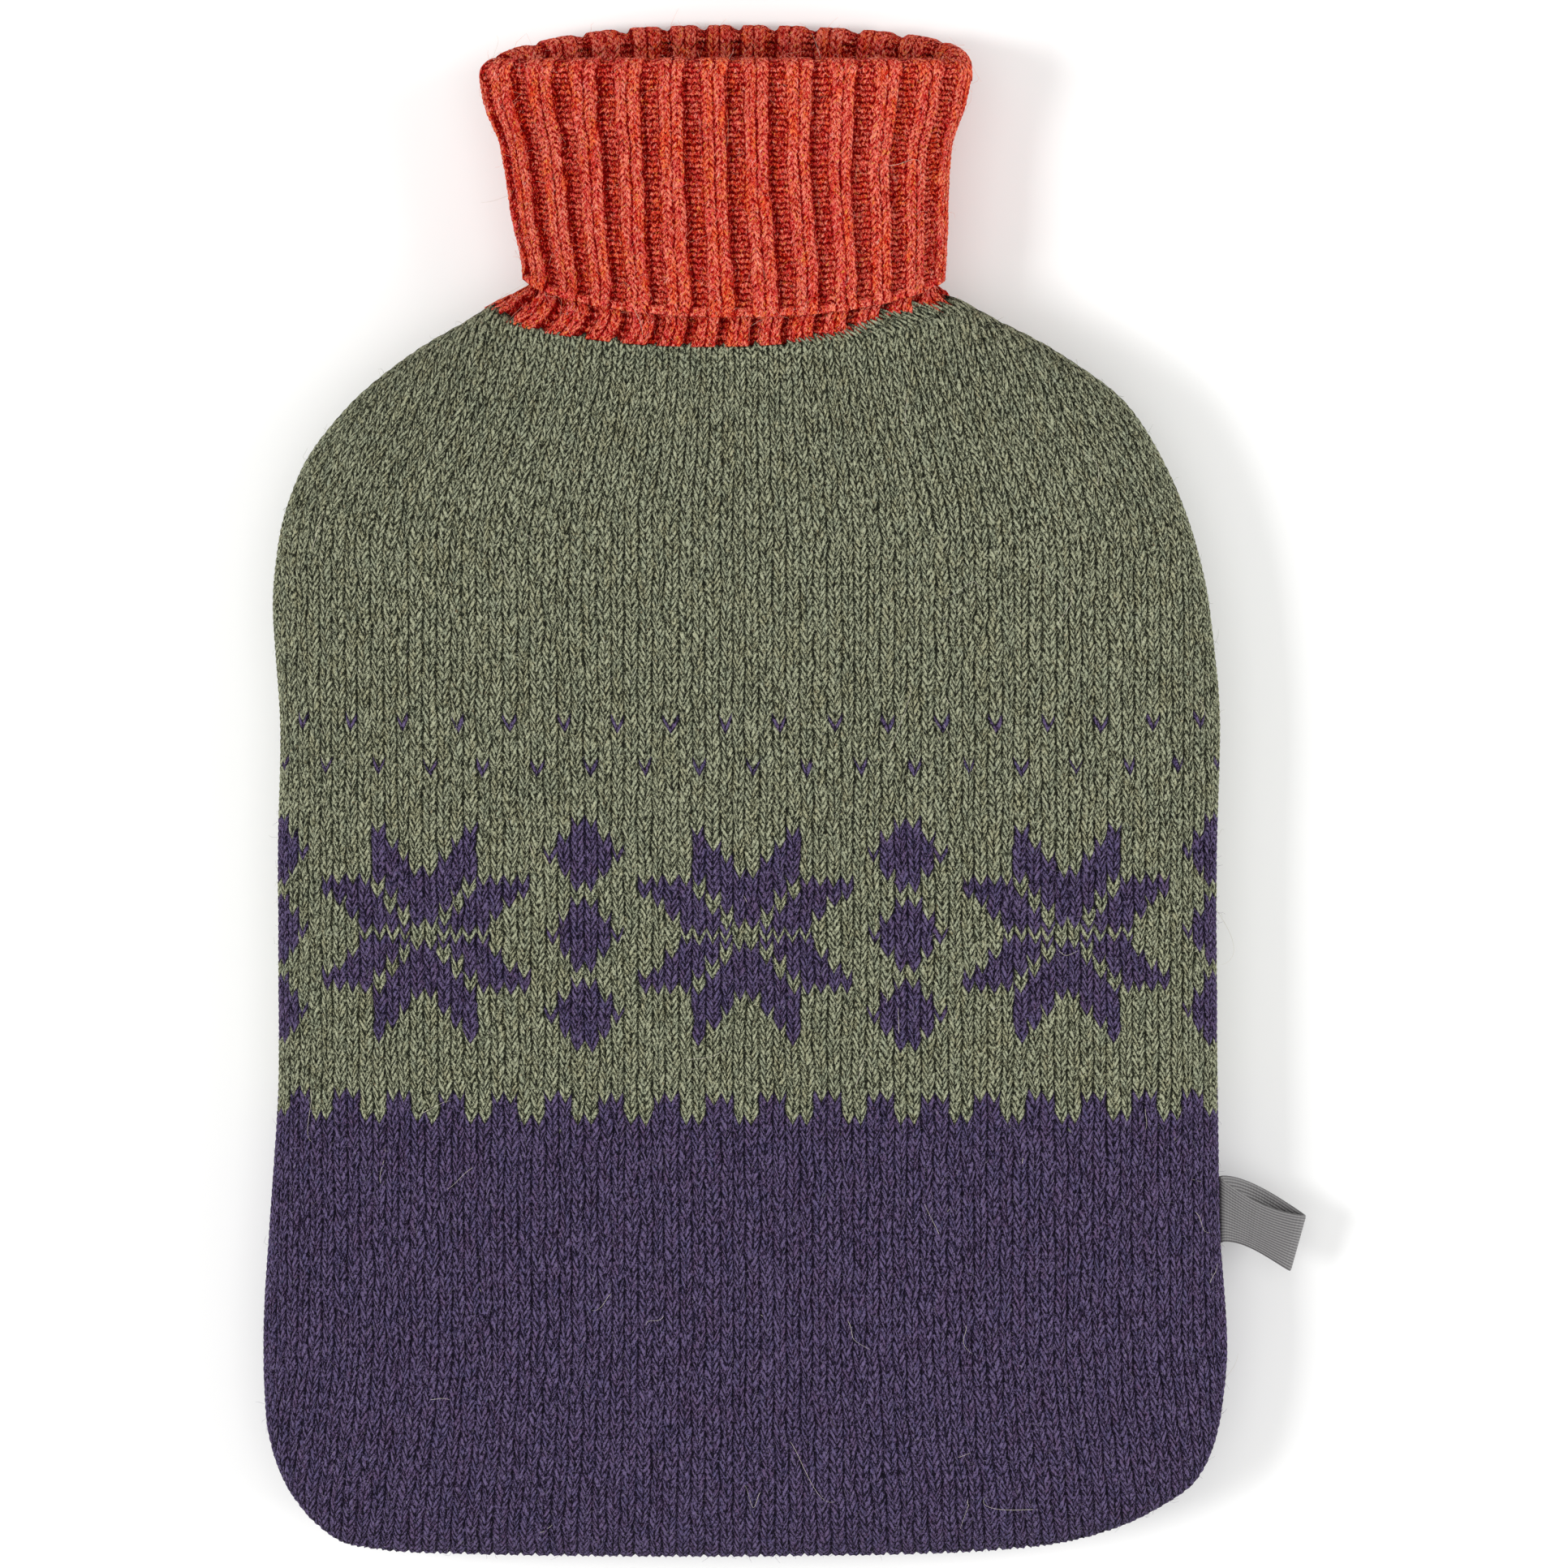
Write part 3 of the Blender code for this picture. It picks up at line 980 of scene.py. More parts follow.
@dataclass
class Panel:
    """One panel of the body: fulled stocking stitch from the bottom seam to the neck.

    A place on the cloth is given in millimetres of knit: across from the body's axis, and along
    from the bottom seam. The knit narrows up to the neck, so these aren't yet places on the form.
    """

    side: Side
    stitch: StitchShape
    border: StarBorder | None = None
    wale_mm: float = 2.87
    band_row_mm: float = 1.76
    field_row_mm: float = 1.56
    band_top_y: float = -71.8
    thickness: float = 2.5
    # The cloth's edge stands upright on each side of a seam, with a gap between the two panels.
    seam_band: float = 1.6
    join_gap: float = 0.3
    neck_gap: float = 0.4
    # The form: its corners at the seams, and how it sags at the neck and at the bottom
    edge_power: float = 2.6
    sag_power: float = 1.5
    bottom_y: float = -166.3
    bottom_sag: float = 1.2
    bottom_zone: float = 38.0
    columns: int = 321
    # Share of its width that the knit loses up to the neck and gains down to the bottom seam
    narrowing: float = 0.2
    narrow_length: float = 44.0
    fan: float = 0.07
    fan_length: float = 62.0
    # The last rows below the collar run on past the form, stand out and have flatter legs.
    tip_steps: int = 5
    tip_zone: float = 3.0
    tip_lift: float = 0.55
    top_climb: float = 0.55
    flat_rows: int = 7
    # Length below the neck over which the rows bend to the line of the neck
    bend_zone: float = 24.0
    # Heights over the form: of the stitches and of the cut edge
    crown: float = 0.12
    edge_lift: float = -0.45
    # How far the seams draw the cloth in, and over what length
    foot_tuck: float = 0.8
    foot_zone: float = 9.0
    side_tuck: float = 0.35
    side_zone: float = 8.0
    # Spacing of the plain inner face's points
    inner_step: float = 4.0

    def __post_init__(self) -> None:
        """Works out the panel's form and where its rows and wales lie on it."""
        self.edge_length = 95.0 if self.side is Side.FRONT else 70.0
        self.step = (self.seam_band - self.join_gap / 2) / 2
        self._shape_form()
        band_top = float(np.interp(self.band_top_y, self.centre_ys, self.centre_lengths))
        self.band_rows = round(band_top / self.band_row_mm - self.stitch.climb / 2)
        field = self.length - self.band_rows * self.band_row_mm
        self.field_rows = round(field / self.field_row_mm)
        self.field_pitch = field / self.field_rows
        self._knit()

    def _row(self, y: float) -> tuple[Array, Array]:
        """One row of the outer face from seam to seam.

        Args:
            y: the row's height at the seams, in millimetres.

        Returns:
            Places in millimetres, and how far along the row each lies from the body's axis.
        """
        is_front = self.side is Side.FRONT
        names = ("rise", "front_power", "front_sag") if is_front else ("drop", "back_power", "back_sag")
        left, right = follow(SEAMS, y, "left", "right")
        seam_z, reach, power, sag = follow(SWELLS, y, "seam_z", *names)
        above = y - self.bottom_y
        depth = max((reach - self.seam_band) * self._swelling(above, self.edge_length), 0.01)
        bottom_sag = self.bottom_sag * (1 - self._swelling(above, self.bottom_zone))
        middle, half_width = (left + right) / 2, (right - left) / 2
        angles = np.linspace(math.pi, 0, 1081)
        x = half_width * signed_power(np.cos(angles), power)
        swell = np.maximum(np.sin(angles), 0) ** (2 / power)
        low_y = y - sag * swell**self.sag_power - bottom_sag * (1 - (x / half_width) ** 2)
        z = seam_z + self.side.value * (self.seam_band + swell * depth)
        for hollow in HOLLOWS if is_front else ():
            across = (middle + x - hollow.x) / hollow.half_width
            along = (low_y - hollow.y) / hollow.half_height
            z -= hollow.depth * np.exp(-(across**2) - along**2) * swell
        places = np.stack([middle + x, low_y, np.maximum(z, 0.0)], axis=1)
        places = np.concatenate([places[:1], places, places[-1:]])
        places[[0, -1], 2] = seam_z + self.side.value * self.join_gap / 2
        return places, self._lengths(places)

    def _lengths(self, places: Array) -> Array:
        """Length along a row to each of its places, from the body's axis."""
        lengths = running_total(np.hypot(np.diff(places[:, 0]), np.diff(places[:, 2])))
        return lengths - np.interp(0.0, places[1:-1, 0], lengths[1:-1])

    def _swelling(self, distance: float, length: float) -> float:
        """0 at an edge and 1 past the length of its swelling, steep at first."""
        left = max(0.0, 1 - distance / length)
        return (1 - left**self.edge_power) ** (1 / self.edge_power)

    def _shape_form(self) -> None:
        """Lays the outer face out as a lattice with rows at even lengths along the cloth."""
        top_y = NECK_Y - self.neck_gap / 2
        ys = self.bottom_y + (top_y - self.bottom_y) * np.linspace(0, 1, 520) ** 2.4
        centres = []
        for places, lengths in map(self._row, ys):
            centres.append([np.interp(0.0, lengths, places[:, axis]) for axis in (1, 2)])
        band = self.seam_band - self.join_gap / 2
        self.centre_ys = ys
        self.centre_lengths = band + running_total(np.hypot(*np.diff(np.array(centres), axis=0).T))
        self.length = float(self.centre_lengths[-1])
        self.row_lengths = np.linspace(0.0, self.length, round(self.length / self.step) + 1)
        form, ends = [], []
        for along in self.row_lengths:
            places, lengths = self._row(float(np.interp(along, self.centre_lengths, ys)))
            if along < band:
                foot_z = places[0, 2]
                places[:, 2] = foot_z + (places[:, 2] - foot_z) * along / band
                lengths = self._lengths(places)
            ends.append((lengths[0], lengths[-1]))
            wanted = np.linspace(lengths[0], lengths[-1], self.columns)
            form.append(np.stack([np.interp(wanted, lengths, axis) for axis in places.T], axis=1))
        self.lefts, self.rights = np.array(ends).T
        self.form = np.stack(form)
        normals = face_normals(self.form) * self.side.value
        onward = self.form[-1] - self.form[-2]
        extra = [self.form[-1] + onward * part for part in range(1, self.tip_steps + 1)]
        self.lattice = np.concatenate([self.form, extra])
        self.normals = np.concatenate([normals, [normals[-1]] * self.tip_steps])
        narrowed = smooth_step(self.length - self.narrow_length, self.length + 6, self.row_lengths)
        fanned = 1 - smooth_step(0.0, self.fan_length, self.row_lengths)
        self.keep = 1 - self.narrowing * narrowed + self.fan * fanned

    def _edges(self, along: Array) -> tuple[Array, ...]:
        """Left and right edge on the form, and the share of its width that the knit keeps there."""
        return tuple(np.interp(along, self.row_lengths, row) for row in (self.lefts, self.rights, self.keep))

    def _place(self, across: Array, along: Array, lift: Array) -> Array:
        """Places on the cloth.

        Args:
            across: millimetres of knit from the body's axis.
            along: millimetres of knit from the bottom seam.
            lift: millimetres out of the outer face.

        Returns:
            Places in metres.
        """
        rows = along / self.length * (len(self.row_lengths) - 1)
        left, right, keep = self._edges(np.minimum(along, self.length))
        columns = (across * keep - left) / (right - left) * (self.columns - 1)
        normals = read_lattice(self.normals, rows, columns)
        return (read_lattice(self.lattice, rows, columns) + normals * lift[..., None]) * MM

    def _outline(self, start: float, end: float) -> Array:
        """The cloth's outline between two lengths along it, as a closed polygon, anticlockwise.

        Args:
            start: millimetres of knit from the bottom seam.
            end: the same, at the upper end.

        Returns:
            n x 2, across and along in millimetres of knit.
        """
        inner = self.row_lengths[(self.row_lengths > start) & (self.row_lengths < end)]
        along = np.array([start, *inner, end])
        left, right, keep = self._edges(along)
        left, right = left / keep, right / keep
        bottom = [(across, start) for across in np.linspace(left[0], right[0], 160)[:-1]]
        top = [(across, end) for across in np.linspace(right[-1], left[-1], 160)[:-1]]
        sides = list(zip(right, along))[:-1], list(zip(left, along))[:0:-1]
        return np.array([*bottom, *sides[0], *top, *sides[1]])

    def _cut(
        self, across: Array, along: Array, start: float, end: float, outline: Array
    ) -> tuple[Array, Array, Array, Array]:
        """Cuts a lattice to the outline: points just outside move onto it.

        Args:
            across: rows x columns of a lattice, in millimetres of knit.
            along: the same.
            start: lower limit of the cloth here.
            end: upper limit.
            outline: closed polygon to move points onto.

        Returns:
            The lattice's points as n x 2, the faces that stay as m x 4, which cells of the lattice
            they are, and the numbers of the points on the outline.
        """
        left, right, keep = self._edges(along)
        is_inside = (across > left / keep + EDGE_MARGIN) & (across < right / keep - EDGE_MARGIN)
        is_inside &= (along > start + EDGE_MARGIN) & (along < end - EDGE_MARGIN)
        is_inside = is_inside.ravel()
        corners = lattice_faces(np.arange(across.size).reshape(across.shape))
        kept = is_inside[corners].any(axis=-1)
        around = np.pad(kept, 1)
        kept |= around[:-2, 1:-1] & around[2:, 1:-1] & around[1:-1, :-2] & around[1:-1, 2:]
        faces = corners[kept]
        edge = np.unique(faces[~is_inside[faces]])
        points = np.stack([across.ravel(), along.ravel()], axis=1)
        points[edge], _ = nearest(outline, points[edge])
        rounded = np.round(points[edge], 3)
        _, first, same = np.unique(rounded, axis=0, return_index=True, return_inverse=True)
        merged = np.arange(len(points))
        merged[edge] = edge[first][same.ravel()]
        return points, merged[faces], kept, edge

    def _row_length(self, row: Array) -> Array:
        """Length along the cloth of a row number."""
        above = np.maximum(row - self.band_rows, 0) * self.field_pitch
        return np.minimum(row, self.band_rows) * self.band_row_mm + above

    def _knit(self) -> None:
        """Knits the whole outer face, stitch by stitch, so that its pieces meet stitch to stitch.

        Every unevenness is a noise with waves so many lattice steps long, times its own height.
        """
        shape = self.stitch
        rng = np.random.default_rng(7 if self.side is Side.FRONT else 19)
        widest = max(-self.lefts.min(), self.rights.max()) / self.wale_mm
        reach = math.ceil(widest / (1 - self.narrowing)) + 1
        first, last = -math.ceil(shape.climb), self.band_rows + self.field_rows
        wale = np.arange(-reach * shape.columns, reach * shape.columns + 1) / shape.columns
        row = np.arange(first * shape.rows, last * shape.rows + 1) / shape.rows
        wales, rows = np.meshgrid(wale, row)
        noise = partial(smooth_noise, rng, wales.shape)
        line = np.interp(wale, np.arange(-reach, reach + 1), rng.normal(0, 0.05, 2 * reach + 1))
        across = (wales + line + (noise(9.0) * 0.12 + noise(3.2) * 0.1)) * self.wale_mm
        near_last = smooth_step(last - self.flat_rows, last - 1, rows)
        climb = shape.climb * (1 - (1 - self.top_climb) * near_last)
        along = self._row_length(rows + climb * bend(wales) + (noise(7.0) * 0.22 + noise(3.0) * 0.12))
        shift = neck_shift(across * (1 - self.narrowing))
        along = along + shift * smooth_step(self.length - self.bend_zone, self.length, along)
        beyond = self.length + self.tip_steps * self.step
        outline = self._outline(0.0, self.length)
        outline[outline[:, 1] >= self.length - 1e-6, 1] = beyond + 1.0
        cut = self._cut(across, np.minimum(along, beyond), 0.0, beyond + 1.0, outline)
        self.knit_points, self.knit_faces, kept, edge = cut
        fullness = 1 + 0.2 * noise(2.6)
        furrow, groove, dip = shape.depths(wales, rows)
        lift = -(furrow * (1 - 0.6 * smooth_step(0.6, 1.0, bend(wales))) + groove + dip) * fullness
        lift[:, bend(wale) == 1] -= 0.12 * (noise(5.0)[:, bend(wale) == 1] + 0.3)
        lift = (lift + 0.06 * noise(14.0)).ravel() + self.crown
        near_top = smooth_step(self.length - self.tip_zone, self.length, self.knit_points[:, 1])
        lift += self.tip_lift * near_top
        lift[edge] = self.edge_lift + self.tip_lift * near_top[edge]
        self.knit_places = self._place(*self.knit_points.T, lift - self._tuck(*self.knit_points.T))
        self.knit_stitches = np.stack([wales.ravel(), rows.ravel()], axis=1)[self.knit_faces]
        face_rows, face_columns = np.nonzero(kept)
        self.stitch_rows = np.floor(row[face_rows] + 1e-6).astype(int)
        above = self.stitch_rows - self.band_rows
        is_purple = above < 0
        if self.border is not None:
            stitch_wales = np.floor(wale[face_columns] + 1e-6).astype(int)
            is_purple |= self.border.is_purple(stitch_wales, above) & (above >= 0)
        self.knit_finishes = is_purple.astype(int)

    def _tuck(self, across: Array, along: Array) -> Array:
        """How far the outer face is drawn in towards its seams.

        Args:
            across: millimetres of knit from the body's axis.
            along: millimetres of knit from the bottom seam.

        Returns:
            Millimetres into the cloth.
        """
        left, right, keep = self._edges(along)
        from_side = np.minimum(across - left / keep, right / keep - across)
        at_foot = self.foot_tuck * (1 - smooth_step(0.0, self.foot_zone, along))
        return at_foot + self.side_tuck * (1 - smooth_step(0.0, self.side_zone, from_side))

    def _inner_face(self, start: float, end: float, outline: Array) -> tuple[Array, Array]:
        """The plain inner face of the cloth between two lengths along it.

        Args:
            start: lower limit in millimetres of knit.
            end: upper limit.
            outline: its outline.

        Returns:
            The points' places in millimetres of knit, and the faces.
        """
        step = self.inner_step
        across = np.arange(-150.0, 150.1, step)
        along = np.linspace(start - step, end + step, round((end - start) / step) + 3)
        return self._cut(*np.meshgrid(across, along), start, end, outline)[:2]

    def build(self, name: str, first_row: int, last_row: int, materials: list[Material]) -> Object:
        """Builds some rows of the panel as a closed sheet, and notes its flat size.

        Args:
            name: name of the piece.
            first_row: its first stitch row, or 0 at the bottom seam.
            last_row: the row after its last one.
            materials: green and purple knit, in that order.

        Returns:
            The piece.
        """
        half_climb = self.stitch.climb / 2
        is_last = last_row >= self.band_rows + self.field_rows
        picked = is_last | (self.stitch_rows < last_row)
        start, end = 0.0, self.length
        if first_row:
            picked &= self.stitch_rows >= first_row
            start = float(self._row_length(first_row + half_climb))
        if not is_last:
            end = float(self._row_length(last_row + half_climb))
        outline = self._outline(start, end)
        points, inner = self._inner_face(start, end, outline)
        count = len(self.knit_points)
        outer_loop, outer_turn = edge_round(self.knit_faces[picked], self.knit_points, outline)
        inner_loop, inner_turn = edge_round(inner, points, outline)
        rim = bridge(outer_loop, outer_turn, inner_loop + count, inner_turn)
        plain = np.concatenate([inner[:, ::-1] + count, rim])
        inner_places = self._place(*points.T, np.full(len(points), -self.thickness))
        flat_stitches = np.concatenate([self.knit_points, points]) / [self.wale_mm, self.field_row_mm]
        shell = Shell(
            np.concatenate([self.knit_places, inner_places]),
            np.concatenate([self.knit_faces[picked], plain]),
            np.concatenate([self.knit_stitches[picked], flat_stitches[plain]]),
            np.concatenate([self.knit_finishes[picked], np.full(len(plain), first_row < self.band_rows)]),
        )
        if self.side is Side.BACK:
            shell = replace(shell, faces=shell.faces[:, ::-1], stitches=shell.stitches[:, ::-1])
        self.flat = (float(self.rights.max() - self.lefts.min()) * MM, (end - start) * MM)
        cells = np.cross(np.gradient(self.form, axis=1), np.gradient(self.form, axis=0))
        rows = (self.row_lengths >= start) & (self.row_lengths <= end)
        self.flat_area = float(np.linalg.norm(cells, axis=2)[rows].sum()) * MM * MM
        return shell.to_object(name, materials)


@dataclass(frozen=True)
class ClothFace:
    """One face of the collar's folded cloth: rings from the neck over the rim to the hem.

    Attributes:
        rings: lattice of places in millimetres, the first of each ring repeated at its end.
        normals: the same lattice's normals, out of the cloth.
        lengths: along the cloth from the neck to each ring, at the front's middle.
    """

    rings: Array
    normals: Array
    lengths: Array


def ring_normals(rings: Array) -> Array:
    """Normals of a lattice of closed rings, carried smoothly round."""
    wrapped = np.concatenate([rings[:, -2:-1], rings, rings[:, 1:2]], axis=1)
    return face_normals(wrapped)[:, 1:-1]


@dataclass
class RibCollar:
    """The collar: a two-by-two rib tube that folds outwards at the rim and comes down over itself.

    The first two of every four wales are knit, counted from the right-hand side.
    """

    wales: int = 100
    phase: float = 1.1
    row_mm: float = 1.26
    thickness: float = 2.0
    layer_gap: float = 1.5
    stitch: StitchShape = StitchShape(climb=1.25, groove=0.3, dip=0.12, furrow=0.22)
    # How high the hem runs at the sides, and how much lower at the front and at the back
    hem_y: float = 109.8
    hem_front_sag: float = 7.8
    hem_back_sag: float = 4.0
    # The rings: how square they are, how they sag, and how much straighter the back of the rim runs
    ring_power: float = 2.2
    sag_power: float = 1.5
    back_flattening: float = 0.7
    back_lean: float = 0.5
    # How far the rings reach below the neck, and lie outside the body's face there
    lowest: float = 3.0
    overlap_gap: float = 0.5
    # Heights of the knit and purl wales, how much deeper a valley is at its left, and in rows how
    # far a purl bump bends
    crest: float = 0.6
    trough: float = 1.15
    valley_slant: float = 0.62
    arch: float = 0.3
    # Wales by which the knit part of a rib is wider on each side, on the tube and on the turn-down
    drawing: float = 0.45
    slack: float = 0.2
    # Shares of the way round by which the ribs move towards the middle: at the neck, at the back, at
    # the front of the rim, and away from it at the hem
    front_draw: float = 0.036
    back_draw: float = 0.0135
    rim_draw: float = 0.005
    hem_spread: float = 0.0128
    # How much of the relief the fold and the cast-off hem take away, and the height left there
    rim_flat: float = 0.75
    rim_back_relief: float = 0.4
    rim_level: float = 0.4
    hem_flat: float = 0.85
    hem_level: float = 0.15
    hem_band: float = 1.7
    hem_press: float = 0.5
    # How far the valleys may lie back, on both pieces and on the tube, and how much the ends round off
    deepest: float = -1.85
    tube_deepest: float = -1.2
    end_drop: float = 0.35
    end_zone: float = 1.6
    # Numbers of rings: below the neck, from there up to the fold, round the fold, and down to the hem
    neck_ring: int = 7
    tube_rings: int = 64
    fold_steps: int = 12
    turn_down_rings: int = 58
    samples: int = 801

    def __post_init__(self) -> None:
        """Works out the two faces of the folded cloth."""
        self.fold_start = self.neck_ring + self.tube_rings - 1
        self.fold_top = self.fold_start + self.fold_steps // 2
        self.wale = np.arange(self.wales * self.stitch.columns) / self.stitch.columns
        rings = self._rings()
        self.back = self._face(rings, -1)
        self.front = self._face(rings + ring_normals(rings) * self.thickness, 1)
        self.split_length = float(self.front.lengths[self.fold_start]) - 2.0
        self.split = round(self.split_length / self.row_mm)

    def _ring(
        self, y: float, gap: float, sags: tuple[float, float] | None = None, lift_y: float = 0.0
    ) -> Array:
        """One ring of the cloth's back face.

        Args:
            y: height on the inner tube.
            gap: how far outside the inner tube it lies.
            sags: front and back sag where they aren't the tube's own.
            lift_y: how far above that height it lies, as at the rim.

        Returns:
            Places in millimetres, the first repeated at the end.
        """
        names = ("middle_x", "centre_z", "half_width", "half_depth", "front_sag", "back_sag")
        middle_x, centre_z, half_width, half_depth, *own_sags = follow(INNER_RINGS, y, *names)
        front_sag, back_sag = sags or own_sags
        half_width, half_depth = half_width + gap, half_depth + gap
        angles = np.linspace(0, 2 * math.pi, 1441)
        x = half_width * signed_power(np.cos(angles), self.ring_power)
        z = half_depth * signed_power(np.sin(angles), self.ring_power)
        lengths = running_total(np.hypot(np.diff(x), np.diff(z)))
        wanted = np.linspace(0, lengths[-1], self.samples)
        x, z = np.interp(wanted, lengths, x), np.interp(wanted, lengths, z)
        lean = 0.65 + self.back_lean * x / half_width
        back_power = self.sag_power - self.back_flattening * lean * float(smooth_step(126.0, 150.0, y))
        power = np.where(z > 0, self.sag_power, back_power)
        sag = np.where(z > 0, front_sag, back_sag) * (np.abs(z) / half_depth) ** power
        return np.stack([middle_x + x, y + lift_y - sag, centre_z + z], axis=1)

    def _rings(self) -> Array:
        """Lays out the cloth's back face as a lattice of rings, from the neck over the rim to the hem.

        Returns:
            The lattice, in millimetres.
        """
        rim = INNER_RINGS[-1]
        radius = self.layer_gap / 2
        below = np.linspace(NECK_Y - self.lowest, NECK_Y, self.neck_ring + 1)[:-1]
        rings = [
            self._ring(float(y), self.overlap_gap * float(smooth_step(-110.0, -104.5, -y)))
            for y in (*below, *np.linspace(105.5, rim.y, self.tube_rings))
        ]
        for angle in np.linspace(0, math.pi, self.fold_steps + 1)[1:-1]:
            rings.append(self._ring(rim.y, radius * (1 - math.cos(angle)), None, radius * math.sin(angle)))
        for y in np.linspace(rim.y, self.hem_y, self.turn_down_rings):
            part = (rim.y - y) / (rim.y - self.hem_y)
            front_sag = rim.front_sag + (self.hem_front_sag - rim.front_sag) * part
            back_sag = rim.back_sag + (self.hem_back_sag - rim.back_sag) * part
            gap = self.layer_gap * (1 - self.hem_press * float(smooth_step(0.7, 1.0, part)))
            rings.append(self._ring(float(y), gap, (front_sag, back_sag)))
        return np.stack(rings)

    def _face(self, rings: Array, way: int) -> ClothFace:
        """Measures a face of the cloth along the front's middle, and works out its normals.

        Args:
            rings: the places of its rings.
            way: 1 for the front face, -1 for the back one, whose normals point the other way.

        Returns:
            The face.
        """
        middle = rings[:, self.samples // 4]
        lengths = running_total(np.linalg.norm(np.diff(middle, axis=0), axis=1))
        return ClothFace(rings, ring_normals(rings) * way, lengths - lengths[self.neck_ring])

    def _place(self, face: ClothFace, wale: Array, along: Array, lift: Array) -> Array:
        """Places on one face of the cloth.

        Args:
            face: the front or the back face.
            wale: wale numbers.
            along: millimetres along the cloth from the neck.
            lift: millimetres out of that face.

        Returns:
            Places in metres.
        """
        turn = (wale + self.phase) / self.wales
        at_front = np.sin(2 * math.pi * turn)
        drawn = self.front_draw * np.cos(2 * math.pi * turn) * (1 - smooth_step(0.0, 13.0, along))
        rim, hem = face.lengths[self.fold_top], face.lengths[-1]
        spread = (self.rim_draw + self.hem_spread) * np.clip((along - rim) / (hem - rim), 0, 1)
        towards = self.rim_draw * smooth_step(rim - 16.0, rim, along) - spread
        sideways = self.back_draw * np.maximum(-at_front, 0.0) + towards * np.maximum(at_front, 0.0)
        drawn = drawn + sideways * np.sin(4 * math.pi * turn)
        columns = np.mod(turn + drawn, 1.0) * (self.samples - 1)
        dip = np.maximum(-self._shift(columns), 0.0)
        along = along - dip * (1 - smooth_step(0.0, 12.0, along))
        rows = np.interp(along, face.lengths, np.arange(len(face.lengths)))
        normals = read_lattice(face.normals, rows, columns)
        return (read_lattice(face.rings, rows, columns) + normals * lift[..., None]) * MM

    def _shift(self, columns: Array) -> Array:
        """How much higher than the solids' the neck line runs at columns of the lattice."""
        return neck_shift(np.interp(columns, np.arange(self.samples), self.back.rings[self.neck_ring, :, 0]))

    def _drawn(self, wales: Array, along: Array) -> Array:
        """Where the tube draws together: its knit wales widen and its purl wales fold in.

        Args:
            wales: wale numbers.
            along: millimetres along the cloth from the neck; it does so up to the top of the fold.

        Returns:
            Wale numbers of a plain rib that looks like it.
        """
        from_rib = np.mod(wales + 1.0, 4.0) - 2.0
        near = np.abs(from_rib)
        fold_top = self.front.lengths[self.fold_top]
        slackened = smooth_step(fold_top - 1.0, fold_top + 6.0, along)
        drawing = self.drawing + (self.slack - self.drawing) * slackened
        wide, narrow = 1.0 + drawing, 1.0 - drawing
        folded = np.where(near <= wide, near / wide, 1.0 + (near - wide) / narrow)
        return wales - from_rib + np.sign(from_rib) * folded

    def _climbed(self, wales: Array) -> Array:
        """How far a stitch's yarn has climbed: in a V if knit, nearly level if purl.

        Args:
            wales: wale numbers.

        Returns:
            Rows that it has climbed.
        """
        climb = self.stitch.climb
        is_knit = np.mod(wales, 4.0) <= 2.0
        return np.where(is_knit, climb * bend(wales), climb - self.arch * (1 - bend(wales)))

    def _relief(self, wales: Array, rows: Array, rng: np.random.Generator) -> Array:
        """Height of the rib's face.

        Args:
            wales: wale numbers.
            rows: row numbers along a leg.
            rng: seeded source of the unevenness.

        Returns:
            Millimetres out of the face.
        """
        in_rib = np.mod(wales, 4.0)
        from_middle = np.abs(in_rib - 1.0)
        from_middle = np.minimum(from_middle, 4.0 - from_middle)
        knit = 1 - smooth_step(0.8, 1.3, from_middle)
        dome = np.sqrt(np.maximum(1 - (from_middle / 1.5) ** 2, 0))
        furrow, groove, dip = self.stitch.depths(wales, rows)
        on_knit = self.crest * dome - furrow * 0.8 - groove - dip
        on_purl = -self.trough * (1 + self.valley_slant * (in_rib - 3.0)) - furrow * 1.6 + 0.1 * bend(wales)
        fullness = 1 + 0.2 * smooth_noise(rng, wales.shape, 2.7)
        return (knit * on_knit + (1 - knit) * on_purl) * fullness

    def _pulled_flat(self, lift: Array, wales: Array, along: Array, from_hem: Array) -> Array:
        """Takes most of the ribs' relief away where the cloth folds and along the cast-off edge.

        Args:
            lift: heights of the knit's face.
            wales: wale numbers.
            along: millimetres along the cloth from the neck.
            from_hem: millimetres to the hem.

        Returns:
            The heights, drawn towards one level there.
        """
        start, end = self.front.lengths[[self.fold_start, self.fold_start + self.fold_steps]]
        on_fold = smooth_step(start - 3, start + 1, along) * (1 - smooth_step(end - 2, end + 3.5, along))
        on_hem = 1 - smooth_step(self.hem_band - 0.5, self.hem_band + 0.9, from_hem)
        at_back = np.maximum(-np.sin(2 * math.pi * (wales + self.phase) / self.wales), 0.0)
        share = (self.rim_flat - self.rim_back_relief * at_back) * on_fold
        flat = lift * (1 - share) + self.rim_level * on_fold
        return flat * (1 - self.hem_flat * on_hem) + self.hem_level * on_hem

    def _stitches(self, faces: Array, wales: Array, rows: Array) -> Array:
        """The wale and the row of each face's corners, carried on where a ring closes.

        Args:
            faces: point numbers.
            wales: the points' wale numbers.
            rows: the points' row numbers.

        Returns:
            A wale and a row for each corner.
        """
        stitches = np.stack([wales, rows], axis=-1).reshape(-1, 2)[faces]
        stitches[:, -1, 1:3, 0] += self.wales
        return stitches

